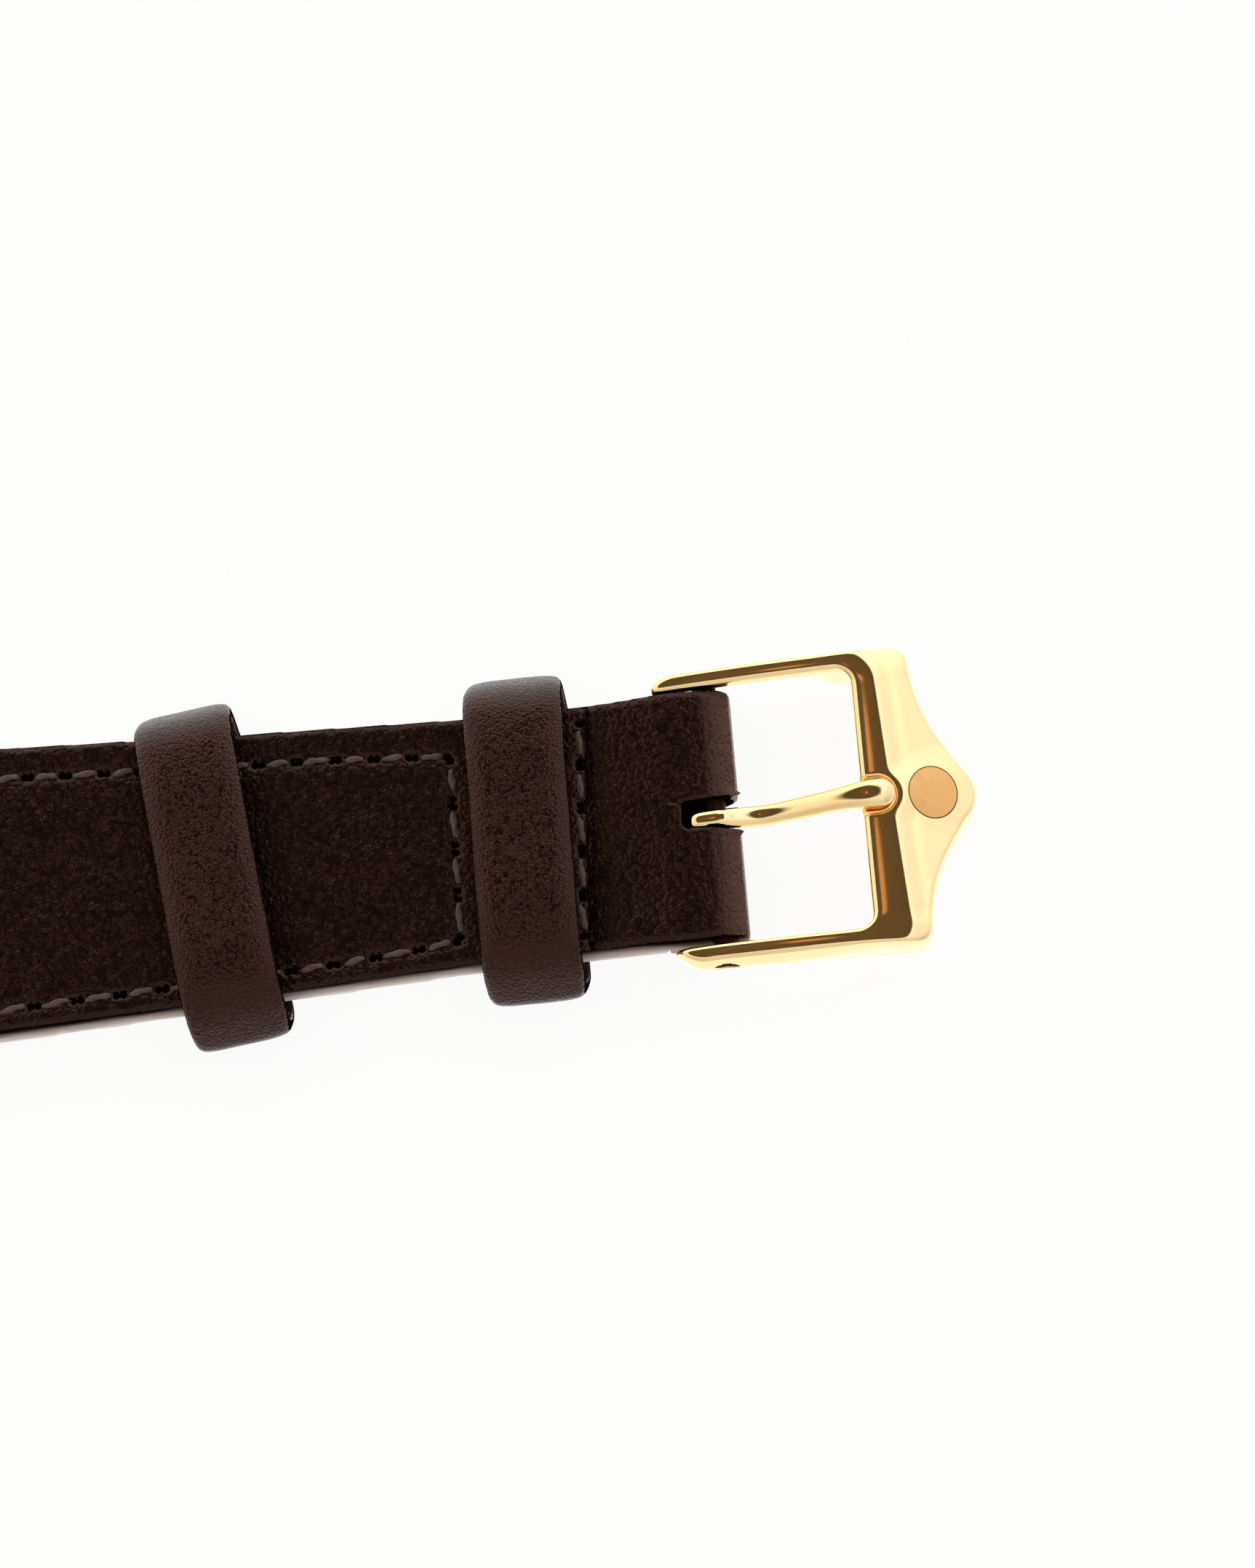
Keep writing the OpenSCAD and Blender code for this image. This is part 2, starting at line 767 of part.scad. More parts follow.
module long_strap_lining() {
    color([0.33, 0.2, 0.13]) rotate(180) intersection() {
        long_strap_body();
        long_lining_space();
    }
}

case_body();
bezel();
crystal();
crystal_gasket();
dial_ring();
dial();
hour_markers();
hour_hand();
minute_hand();
hour_wheel();
centre_wheel();
minute_wheel();
main_plate();
train_bridge();
bridge_screws();
intermediate_wheel();
rotor();
stator();
coil_core();
coil();
circuit_board();
quartz_can();
ic_chip();
battery();
movement_ring();
setting_lever();
stem();
crown();
crown_gasket();
crown_tube();
case_back();
case_back_gasket();
spring_bar_12();
spring_bar_6();
short_strap_upper();
short_strap_lining();
fixed_keeper();
free_keeper();
buckle_frame();
buckle_pin();
buckle_tongue();
long_strap_upper();
long_strap_lining();
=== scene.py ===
"""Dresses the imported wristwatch: a grained leather strap, a gold-plated tang buckle and the watch head."""

import math

import bmesh
import bpy
import numpy as np
from mathutils import Matrix, Vector


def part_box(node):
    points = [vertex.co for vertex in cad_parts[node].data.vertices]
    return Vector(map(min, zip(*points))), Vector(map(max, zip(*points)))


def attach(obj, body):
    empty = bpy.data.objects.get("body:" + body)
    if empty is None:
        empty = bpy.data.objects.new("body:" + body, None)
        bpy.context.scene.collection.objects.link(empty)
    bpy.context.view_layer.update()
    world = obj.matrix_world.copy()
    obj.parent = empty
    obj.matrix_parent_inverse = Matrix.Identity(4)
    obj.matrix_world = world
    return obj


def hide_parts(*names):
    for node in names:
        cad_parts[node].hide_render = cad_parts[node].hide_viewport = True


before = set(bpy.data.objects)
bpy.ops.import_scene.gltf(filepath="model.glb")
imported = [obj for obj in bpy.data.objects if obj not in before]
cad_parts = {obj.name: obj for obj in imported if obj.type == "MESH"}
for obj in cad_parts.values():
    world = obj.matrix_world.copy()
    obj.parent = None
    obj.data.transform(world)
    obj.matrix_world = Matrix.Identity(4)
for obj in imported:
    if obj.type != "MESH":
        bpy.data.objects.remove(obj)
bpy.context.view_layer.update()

bl_info = {
    "name": "Leather Strap Wristwatch",
    "version": (1, 0, 0),
    "blender": (4, 5, 0),
    "location": "View3D > Sidebar > Watch",
    "description": "Builds the looks of a wristwatch on a leather strap around its packed frame",
    "category": "Object",
}

MM = 0.001

# The strap's pin, which the buckle and its tongue turn on, in millimetres
PIN_Y = 95.4
PIN_Z = 2.8

# Buckle half of the strap: [along Y, half width] and [along Y, height of the top face]
SHORT_WIDTHS = ((10, 9.9), (36, 9.9), (79, 8.1), (98, 7.95))
SHORT_TOPS = ((20, 5.2), (22, 5.2), (32, 5.0), (66, 3.8), (87.5, 3.8), (92.4, 4.4), (98, 4.4))
# Where the leather begins to bend over the pin, how far it drops and over what length
ROLL_Y = 93.6
ROLL_DROP = 0.5
ROLL_LENGTH = 3.8
# Where a paler colour is painted on the bent leather as its highlight
SHEEN_SPAN = (94.6, 97.6)
LUG_STITCH_Y = 27.5
ROW_INSET = 1.75
# Sewing of the buckle half, in plan: it drifts to the crown side, and its last row runs askew
RIGHT_ROW = ((8.6, LUG_STITCH_Y), (8.6, 36), (7.15, 71), (6.86, 75), (6.5, 78.95))
LEFT_ROW = ((-7.9, LUG_STITCH_Y), (-7.9, 36), (-6.3, 71.2), (-5.93, 76), (-5.65, 79.15))
FOLD_ROW = ((-7.1, 87.42), (7.2, 86.6))
# The groove beside that row: distance from it, depth, half width
FOLD_GROOVE = (0.4, 0.13, 0.2)
# Needle holes: radius, depth, and space from the thread's end
HOLE_R = 0.23
HOLE_DEPTH = 0.5
HOLE_SPACE = 0.15
# The valley that sewing pulls along a row: depth, half width
SEWN_VALLEY = (0.09, 0.5)
# Sewn by hand: closer on one side, wider across, than the strap's own pitch
LEFT_PITCH = 0.9
CROSS_PITCH = 1.12

# Angle at which the loose keeper sits across the strap
FREE_SKEW = math.radians(5.3)
# The loose keeper is worn wider than its plain solid and sits further askew: turn, x, y, width
FREE_SHIFT = (math.radians(1.7), 0.16, 0.16, 1.016)

# Half of the strap with the holes, drawn along +Y from the dial's middle, then turned to 6 o'clock
BAR_REACH = 22
BAR_Z = 3.2
LUG_ROLL = 2
LONG_LENGTH = 115
LONG_DROOP = math.asin((BAR_Z - LUG_ROLL) / (LONG_LENGTH - LUG_ROLL))
TIP_Y = BAR_REACH - LUG_ROLL + LONG_LENGTH
TIP_LENGTH = 14
TIP_HALF = 8
LONG_TOPS = ((0, 2.0), (10, 1.8), (50, 0.4), (97, 0.0), (114, -0.2))


def linear(hex_text):
    """An sRGB hex colour as linear RGBA."""
    parts = [int(hex_text[i:i + 2], 16) / 255 for i in (1, 3, 5)]
    return [c / 12.92 if c <= 0.04045 else ((c + 0.055) / 1.055) ** 2.4 for c in parts] + [1.0]


def colour(label, text, hex_text):
    """A colour property that a user can change."""
    return bpy.props.FloatVectorProperty(
        name=label, description=text, subtype="COLOR", size=4, min=0, max=1, default=linear(hex_text))


def length(label, text, millimetres):
    """A length property that a user can change."""
    return bpy.props.FloatProperty(
        name=label, description=text, subtype="DISTANCE", unit="LENGTH",
        default=millimetres * MM, precision=5)


def angle(label, text, degrees):
    """An angle property that a user can change."""
    return bpy.props.FloatProperty(
        name=label, description=text, subtype="ANGLE", default=math.radians(degrees))


class StrapLook(bpy.types.PropertyGroup):
    """Leather, thread and grain of the strap."""
    leather: colour("Leather", "Dyed calf leather of the strap's upper side", "#160A0A")
    lining: colour("Lining", "Lining leather under the strap", "#D6C8C4")
    keeper: colour("Keepers", "Finer leather of the two keepers", "#170A0A")
    thread: colour("Thread", "Waxed sewing thread", "#482F28")
    grain: length("Grain", "Width of a pebble of the leather's grain", 0.42)
    stitch_pitch: length("Stitch pitch", "Distance from stitch to stitch", 2.72)
    stitch_length: length("Stitch length", "Length of thread that shows", 1.95)
    thread_width: length("Thread width", "Thickness of the thread", 0.35)


class BuckleLook(bpy.types.PropertyGroup):
    """Plating of the buckle."""
    gold: colour("Gold", "Gold plating", "#F9DBA6")
    satin: colour("Satin disc", "Matt disc on the front plate", "#E8B474")
    disc_radius: length("Disc radius", "Radius of the matt disc", 1.74)
    polish: bpy.props.FloatProperty(
        name="Polish", description="Roughness of the polished gold", subtype="FACTOR",
        min=0, max=1, default=0.05)


class HeadLook(bpy.types.PropertyGroup):
    """Colours of the watch head."""
    dial: colour("Dial", "Lacquered dial", "#FFFAEE")
    track: colour("Minute track", "Printed minute track", "#4A3A2C")
    steel: colour("Steel", "Stainless steel", "#C9CACC")
    brass: colour("Brass", "Brass of the movement", "#D8B66A")


class StageLook(bpy.types.PropertyGroup):
    """Light and camera."""
    tilt: angle("Tilt", "Camera's lean towards the crown side", 18)
    lean: angle("Lean", "Camera's lean towards the buckle", 4.5)
    roll: angle("Roll", "Rise of the strap across the picture", 6.15)
    distance: length("Distance", "Distance from the camera to the strap's end", 350)
    light: bpy.props.FloatProperty(
        name="Light", description="Strength of the light tent", min=0, default=1.1)


# Meshes

def read_points(mesh):
    """A mesh's points in millimetres."""
    flat = np.empty(len(mesh.vertices) * 3)
    mesh.vertices.foreach_get("co", flat)
    return flat.reshape(-1, 3) / MM


def write_points(mesh, points):
    """Puts points in millimetres into a mesh."""
    mesh.vertices.foreach_set("co", (points * MM).ravel())
    mesh.update()


def read_normals(mesh):
    """A mesh's point normals."""
    flat = np.empty(len(mesh.vertices) * 3)
    mesh.vertex_normals.foreach_get("vector", flat)
    return flat.reshape(-1, 3)


def read_edges(mesh):
    """A mesh's edges as pairs of point numbers."""
    flat = np.empty(len(mesh.edges) * 2, dtype=np.int64)
    mesh.edges.foreach_get("vertices", flat)
    return flat.reshape(-1, 2)


def read_faces(mesh):
    """A mesh's face normals, and its face middles in millimetres."""
    normals, middles = np.empty(len(mesh.polygons) * 3), np.empty(len(mesh.polygons) * 3)
    mesh.polygons.foreach_get("normal", normals)
    mesh.polygons.foreach_get("center", middles)
    return normals.reshape(-1, 3), middles.reshape(-1, 3) / MM


def paint(obj, chosen, material):
    """Gives the chosen faces of a piece another material."""
    mesh = obj.data
    index = np.empty(len(mesh.polygons), dtype=np.int32)
    mesh.polygons.foreach_get("material_index", index)
    index[chosen] = len(mesh.materials)
    mesh.materials.append(material)
    mesh.polygons.foreach_set("material_index", index)


def neighbour_mean(values, edges):
    """The mean of each point's neighbours."""
    total = np.zeros_like(values)
    np.add.at(total, edges[:, 0], values[edges[:, 1]])
    np.add.at(total, edges[:, 1], values[edges[:, 0]])
    count = np.bincount(edges.ravel(), minlength=len(values))
    return total / np.maximum(count, 1)[:, None]


def relax(points, edges, rounds):
    """Rounds the edges of a close mesh by moving each point half way to its neighbours."""
    for _ in range(rounds):
        points = 0.5 * (points + neighbour_mean(points, edges))
    return points


def smooth_step(low, high, x):
    """Rises smoothly from 0 at low to 1 at high."""
    t = np.clip((x - low) / (high - low), 0, 1)
    return t * t * (3 - 2 * t)


def cubic(a, b, c, d, count):
    """Points on a cubic curve."""
    t = np.linspace(0, 1, count)[:, None]
    s = 1 - t
    a, b, c, d = np.array((a, b, c, d), dtype=float)
    return s ** 3 * a + 3 * s * s * t * b + 3 * s * t * t * c + t ** 3 * d


def smooth_max(a, b, k):
    """The larger of two distances, with a rounding of about k where they meet."""
    h = np.clip(0.5 + 0.5 * (a - b) / k, 0, 1)
    return b + (a - b) * h + k * h * (1 - h)


def round_box(x, y, half, far, r):
    """Distance in plan to a box that ends at half and far, with rounded corners."""
    qx, qy = x - (half - r), y - (far - r)
    return np.hypot(np.maximum(qx, 0), np.maximum(qy, 0)) + np.minimum(np.maximum(qx, qy), 0) - r


def new_object(name, mesh):
    """A smooth-shaded object in the scene."""
    obj = bpy.data.objects.new(name, mesh)
    bpy.context.scene.collection.objects.link(obj)
    mesh.shade_smooth()
    return obj


def solid(name, points, faces):
    """An object from points in millimetres and faces."""
    mesh = bpy.data.meshes.new(name)
    mesh.from_pydata([tuple(p) for p in np.asarray(points) * MM], [], faces)
    mesh.validate()
    return new_object(name, mesh)


def remeshed(name, node, voxel):
    """An evenly and closely meshed copy of a CAD node, with a voxel size in millimetres."""
    shape = bmesh.new()
    shape.from_mesh(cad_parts[node].data)
    bmesh.ops.remove_doubles(shape, verts=shape.verts, dist=1e-6)
    rough = bpy.data.meshes.new(name + ".rough")
    shape.to_mesh(rough)
    shape.free()
    holder = new_object(name + ".rough", rough)
    modifier = holder.modifiers.new("even", "REMESH")
    modifier.mode = "VOXEL"
    modifier.voxel_size = voxel * MM
    graph = bpy.context.evaluated_depsgraph_get()
    mesh = bpy.data.meshes.new_from_object(holder.evaluated_get(graph))
    mesh.name = name
    bpy.data.objects.remove(holder)
    bpy.data.meshes.remove(rough)
    mesh.materials.clear()
    return new_object(name, mesh)


def finish_piece(obj, material, body, slot, *nodes):
    """Gives a piece its material, its body and the CAD nodes that it stands for."""
    obj.data.materials.append(material)
    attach(obj, body)
    if nodes:
        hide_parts(*nodes)


def dress(node, material, edge=0.0, turn=30):
    """Gives a CAD node its material, and softened edges of a width in millimetres."""
    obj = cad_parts[node]
    if not obj.material_slots:
        obj.data.materials.append(material)
    for place in obj.material_slots:
        place.material = material
    if edge:
        weld = obj.modifiers.new("weld", "WELD")
        weld.merge_threshold = 1e-6
        bevel = obj.modifiers.new("edge", "BEVEL")
        bevel.width = edge * MM
        bevel.segments = 3
        bevel.limit_method = "ANGLE"
        bevel.angle_limit = math.radians(turn)
        bevel.harden_normals = True


# Materials

def add(tree, kind, inputs=None, **settings):
    """One shader node with its settings, its inputs set or linked. A node stands for its output in use."""
    node = tree.nodes.new("ShaderNode" + kind)
    for name, value in settings.items():
        setattr(node, name, value)
    for socket, value in (inputs or {}).items():
        if isinstance(value, bpy.types.Node):
            value = next(output for output in value.outputs if output.enabled)
        if isinstance(value, bpy.types.NodeSocket):
            tree.links.new(value, node.inputs[socket])
        else:
            node.inputs[socket].default_value = value
    return node


def new_material(name):
    """An empty material, its node tree, and the place on the piece in millimetres."""
    material = bpy.data.materials.new(name)
    material.use_nodes = True
    tree = material.node_tree
    tree.nodes.clear()
    place = add(tree, "TexCoord").outputs["Object"]
    return material, tree, add(tree, "VectorMath", {0: place, 3: 1 / MM}, operation="SCALE")


def shaded(tree, inputs):
    """Ends a material in a Principled shader with these inputs."""
    shader = add(tree, "BsdfPrincipled", inputs)
    add(tree, "OutputMaterial", {"Surface": shader})


def scaled(rgba, factor):
    """A colour made lighter or darker."""
    return [min(1, c * factor) for c in rgba[:3]] + [1.0]


def patterned(tree, pattern, rgba, dark, light, depth):
    """Shader inputs that follow a pattern: a tone between two shades, and a height in millimetres."""
    tone = add(tree, "Mix", {0: pattern, 6: scaled(rgba, dark), 7: scaled(rgba, light)}, data_type="RGBA")
    bump = add(tree, "Bump", {"Height": pattern, "Distance": depth * MM})
    return {"Base Color": tone, "Normal": bump}


def grained_leather(name, rgba, grain, depth, roughness, pores, shine, crease_shade, sheen_span=None):
    """Drum-dyed calf leather with a pressed grain and a thin wax finish.

    The eye sees small soft pebbles of slightly different tones, creases and pores darkened with painted
    shade, and a dull sheen that breaks up on the grain. Grain and pores are drawn from their size in
    millimetres.
    Between the two places in sheen_span, a paler colour is painted on the bent leather as its highlight,
    with dark pore dots.
    """
    material, tree, place = new_material(name)
    sway = add(tree, "TexNoise", {"Vector": place, "Scale": 0.9, "Detail": 2.0})
    pushed = add(tree, "VectorMath", {0: sway.outputs["Color"], 1: (0.5, 0.5, 0.5)}, operation="SUBTRACT")
    pushed = add(tree, "VectorMath", {0: pushed, 3: grain * 1.1}, operation="SCALE")
    bent = add(tree, "VectorMath", {0: place, 1: pushed}, operation="ADD")
    pebble = add(tree, "TexVoronoi", {"Vector": bent, "Scale": 1 / grain, "Smoothness": 0.4},
                 feature="SMOOTH_F1")
    crease = add(tree, "TexVoronoi", {"Vector": bent, "Scale": 1 / grain}, feature="DISTANCE_TO_EDGE")
    crease = add(tree, "MapRange", {0: crease.outputs["Distance"], 2: 0.3}, interpolation_type="SMOOTHSTEP")
    fine = add(tree, "TexNoise", {"Vector": place, "Scale": 4.5, "Detail": 3.0, "Roughness": 0.6})
    # Real pores are under 0.1 mm; they are drawn up to 0.14 mm wide so that they show
    pore = add(tree, "TexVoronoi", {"Vector": place, "Scale": 1 / pores}, feature="F1")
    pore = add(tree, "MapRange", {0: pore.outputs["Distance"], 1: 0.14, 2: 0.36},
               interpolation_type="SMOOTHSTEP")
    dome = add(tree, "Math", {0: pebble.outputs["Distance"], 1: -0.75, 2: 0.6}, operation="MULTIPLY_ADD")
    high = add(tree, "Math", {0: crease, 1: 0.3, 2: dome}, operation="MULTIPLY_ADD")
    high = add(tree, "Math", {0: fine, 1: 0.4, 2: high}, operation="MULTIPLY_ADD")
    high = add(tree, "Math", {0: pore, 1: 0.45, 2: high}, operation="MULTIPLY_ADD")
    bump = add(tree, "Bump", {"Height": high, "Distance": depth * MM})
    cloud = add(tree, "TexNoise", {"Vector": place, "Scale": 0.11, "Detail": 3.0})
    each = add(tree, "SeparateColor", {0: pebble.outputs["Color"]})
    dyed = add(tree, "Math", {0: each, 1: 0.5, 2: cloud}, operation="MULTIPLY_ADD")
    dyed = add(tree, "MapRange", {0: dyed, 1: 0.45, 2: 1.05})
    tone = add(tree, "Mix", {0: dyed, 6: scaled(rgba, 0.6), 7: scaled(rgba, 1.6)}, data_type="RGBA")
    # Painted shade: creases and pores are darkened towards crease_shade times the leather's colour
    painted_light = add(tree, "Math", {0: crease, 1: pore}, operation="MULTIPLY")
    tone = add(tree, "Mix", {0: painted_light, 6: scaled(rgba, crease_shade), 7: tone}, data_type="RGBA")
    # Painted highlight: the bent leather between the places in sheen_span is painted paler, with darker pore
    # dots
    if sheen_span:
        along = add(tree, "SeparateXYZ", {0: place}).outputs["Y"]
        share = add(tree, "MapRange", {0: along, 1: sheen_span[0], 2: sheen_span[1]},
                    interpolation_type="SMOOTHSTEP")
        dot = add(tree, "TexVoronoi", {"Vector": place, "Scale": 2 / pores}, feature="F1")
        dot = add(tree, "MapRange", {0: dot.outputs["Distance"], 1: 0.2, 2: 0.4})
        painted_sheen = add(tree, "Mix", {0: dot, 6: rgba, 7: linear("#533F37")}, data_type="RGBA")
        tone = add(tree, "Mix", {0: share, 6: tone, 7: painted_sheen}, data_type="RGBA")
    gloss = add(tree, "MapRange", {0: fine, 1: 0.3, 2: 0.7, 3: roughness + 0.03, 4: roughness - 0.02})
    shaded(tree, {
        "Base Color": tone, "Roughness": gloss, "Normal": bump,
        "Specular IOR Level": shine, "Specular Tint": linear("#FFBFAD")})
    return material


def cut_edge(name, upper, lower, heights):
    """A painted leather edge: matt, with streaks, its colour changing between two heights."""
    material, tree, place = new_material(name)
    drawn = add(tree, "VectorMath", {0: place, 1: (1.0, 0.3, 3.0)}, operation="MULTIPLY")
    streak = add(tree, "TexNoise", {"Vector": drawn, "Scale": 1.2, "Detail": 3.0})
    height = add(tree, "SeparateXYZ", {0: place}).outputs["Z"]
    waver = 0.7
    uneven = add(tree, "Math", {0: streak, 1: waver, 2: height}, operation="MULTIPLY_ADD")
    low, high = (z + waver / 2 for z in heights)
    share = add(tree, "MapRange", {0: uneven, 1: low, 2: high}, interpolation_type="SMOOTHSTEP")
    tone = add(tree, "Mix", {0: share, 6: lower, 7: upper}, data_type="RGBA")
    bump = add(tree, "Bump", {"Height": streak, "Distance": 0.04 * MM})
    shaded(tree, {"Base Color": tone, "Roughness": 0.6, "Normal": bump, "Specular IOR Level": 0.0})
    return material


def waxed_thread(rgba):
    """Twisted polyester thread, waxed: two plies with fine hairs that catch the light."""
    material, tree, place = new_material("Waxed polyester thread")
    # Fibres are about 0.02 mm; they are drawn 0.08 mm wide so that they show
    fibre = add(tree, "TexNoise", {"Vector": place, "Scale": 12.0, "Detail": 2.0})
    inputs = patterned(tree, fibre, rgba, 0.6, 1.4, 0.05)
    shaded(tree, {**inputs, "Roughness": 0.55, "Sheen Weight": 0.2})
    return material


def polished_metal(name, rgba, roughness, scratch):
    """Polished plating over a hard base: clear reflections, with faint hairlines from wiping."""
    material, tree, place = new_material(name)
    # Hairlines are a few micrometres wide; they are drawn 0.1 mm apart so that they show
    drawn = add(tree, "VectorMath", {0: place, 1: (9.0, 1.4, 9.0)}, operation="MULTIPLY")
    hair = add(tree, "TexNoise", {"Vector": drawn, "Scale": 1.0, "Detail": 3.0})
    cloud = add(tree, "TexNoise", {"Vector": place, "Scale": 0.6, "Detail": 2.0})
    both = add(tree, "Math", {0: hair, 1: cloud}, operation="MULTIPLY")
    gloss = add(tree, "MapRange", {0: both, 1: 0.1, 2: 0.5, 3: roughness * 0.7, 4: roughness * 1.6})
    tone = add(tree, "Mix", {0: cloud, 6: scaled(rgba, 0.98), 7: rgba}, data_type="RGBA")
    bump = add(tree, "Bump", {"Height": hair, "Distance": scratch * MM})
    shaded(tree, {"Base Color": tone, "Metallic": 1.0, "Roughness": gloss, "Normal": bump})
    return material


def satin_metal(name, rgba, roughness, spacing, depth):
    """Metal with a fine matt finish: soft light with a grainy sparkle."""
    material, tree, place = new_material(name)
    grit = add(tree, "TexNoise", {"Vector": place, "Scale": 1 / spacing, "Detail": 3.0, "Roughness": 0.7})
    gloss = add(tree, "MapRange", {0: grit, 1: 0.3, 2: 0.7, 3: roughness - 0.06, 4: roughness + 0.06})
    inputs = patterned(tree, grit, rgba, 0.8, 1.12, depth)
    shaded(tree, {**inputs, "Metallic": 1.0, "Roughness": gloss})
    return material


def moulded(name, rgba, roughness, spacing):
    """A moulded plastic or rubber: even colour with a faint moulded texture and softened gloss."""
    material, tree, place = new_material(name)
    skin = add(tree, "TexNoise", {"Vector": place, "Scale": 1 / spacing, "Detail": 2.0})
    inputs = patterned(tree, skin, rgba, 0.88, 1.1, 0.01)
    shaded(tree, {**inputs, "Roughness": roughness})
    return material


def mineral_glass():
    """Mineral glass, ground and polished: clear, with the least haze from wiping."""
    material, tree, place = new_material("Mineral glass")
    haze = add(tree, "TexNoise", {"Vector": place, "Scale": 0.5, "Detail": 3.0})
    gloss = add(tree, "MapRange", {0: haze, 1: 0.3, 2: 0.8, 3: 0.0, 4: 0.02})
    shaded(tree, {
        "Base Color": linear("#FAFCFC"), "Roughness": gloss, "Transmission Weight": 1.0, "IOR": 1.52})
    return material


def sunray_lacquer(rgba):
    """A brass dial, brushed from its middle and lacquered: a fan of light that turns round the middle."""
    material, tree, place = new_material("Sunray lacquered dial")
    around = add(tree, "TexGradient", {"Vector": place}, gradient_type="RADIAL")
    # Brush lines are 0.02 mm apart; they are drawn 600 round the dial so that they show
    lines = add(tree, "Math", {0: around.outputs["Fac"], 1: 600.0}, operation="MULTIPLY")
    ray = add(tree, "TexNoise", {"W": lines, "Scale": 1.0}, noise_dimensions="1D")
    inputs = patterned(tree, ray, rgba, 0.93, 1.05, 0.012)
    shaded(tree, {
        **inputs, "Metallic": 0.04, "Roughness": 0.32, "Coat Weight": 0.4, "Coat Roughness": 0.08})
    return material


def wound_wire(rgba):
    """Enamelled copper wire, wound close: fine rings with a lacquer gloss."""
    material, tree, place = new_material("Enamelled copper wire")
    # The wire is about 0.02 mm thick; it is drawn 0.12 mm thick so that it shows
    turns = add(tree, "TexWave", {"Vector": place, "Scale": 2.6}, wave_type="BANDS", bands_direction="X")
    inputs = patterned(tree, turns.outputs["Fac"], rgba, 0.5, 1.0, 0.04)
    shaded(tree, {**inputs, "Metallic": 0.9, "Roughness": 0.3})
    return material


# Strap halves: outlines, sewing rows and the form that sewing gives the leather

def walk(line, pitch):
    """Even steps along a line of points: the places and the directions."""
    steps = np.diff(line, axis=0)
    lengths = np.hypot(steps[:, 0], steps[:, 1])
    far = np.concatenate([[0], np.cumsum(lengths)])
    count = max(1, round(far[-1] / pitch))
    at = (np.arange(count) + 0.5) * far[-1] / count
    part = np.clip(np.searchsorted(far, at) - 1, 0, len(steps) - 1)
    along = steps[part] / lengths[part][:, None]
    return line[part] + along * (at - far[part])[:, None], along


def line_distance(points, line):
    """The distance from points in plan to a line of points."""
    best = np.full(len(points), 1e9)
    for a, b in zip(line[:-1], line[1:]):
        run = b - a
        t = np.clip((points - a) @ run / (run @ run), 0, 1)
        gap = points - a - t[:, None] * run
        best = np.minimum(best, np.hypot(gap[:, 0], gap[:, 1]))
    return best


def mirrored(line):
    """A line on the other side of the strap."""
    return line * np.array([-1.0, 1.0])


def short_rows(pitch, stitch):
    """The sewing rows of the buckle half: a line in plan, its pitch and the length of its stitches."""
    corner = (RIGHT_ROW[-1], LEFT_ROW[-1])
    rows = ((RIGHT_ROW, 1), (LEFT_ROW, LEFT_PITCH), (corner, CROSS_PITCH), (FOLD_ROW, CROSS_PITCH))
    return [(np.array(row, dtype=float), pitch * size, stitch * size) for row, size in rows]


def long_edge():
    """The right edge of the half with the holes, from the lug to the tip."""
    start = (TIP_HALF, TIP_Y - TIP_LENGTH)
    point = cubic(start, (TIP_HALF - 0.3, TIP_Y - 5), (4.2, TIP_Y), (0, TIP_Y), 16)[1:]
    straight = np.array([(9.9, LUG_STITCH_Y), (9.9, 36), (TIP_HALF, 80), start])
    return np.concatenate([straight, point])


def long_rows(pitch, stitch):
    """The sewing rows of the half with the holes, as for the buckle half."""
    edge = long_edge()
    run = np.gradient(edge, axis=0)
    run /= np.hypot(run[:, 0], run[:, 1])[:, None]
    inner = edge + ROW_INSET * np.column_stack([-run[:, 1], run[:, 0]])
    inner[-1, 0] = 0
    return [(inner, pitch, stitch), (mirrored(inner), pitch, stitch)]


def hole_gap(plan, rows):
    """The distance from points in plan to the nearest needle hole."""
    best = np.full(len(plan), 1e9)
    for row, pitch, stitch in rows:
        near = np.flatnonzero(line_distance(plan, row) < 1.6)
        places, along = walk(row, pitch)
        for sign in (-1, 1):
            for hole in places + sign * along * (stitch / 2 + HOLE_SPACE):
                off = plan[near] - hole
                best[near] = np.minimum(best[near], np.hypot(off[:, 0], off[:, 1]))
    return best


def sewn_dip(plan, rows):
    """How far sewing pulls the leather down, in millimetres: a soft valley and a pit at each hole."""
    dip = HOLE_DEPTH * np.exp(-(hole_gap(plan, rows) / HOLE_R) ** 2)
    depth, width = SEWN_VALLEY
    for row, _, _ in rows:
        dip = np.maximum(dip, depth * np.exp(-(line_distance(plan, row) / width) ** 2))
    return dip


def soft_swell(x, y):
    """The slight unevenness of hand-cut leather, in millimetres."""
    return (0.025 * np.sin(0.71 * x + 0.43 * y + 0.6) * np.sin(0.37 * y - 0.22 * x)
            + 0.006 * np.sin(1.1 * x - 0.5 * y + 2.1) * np.sin(1.3 * y + 0.3 * x))


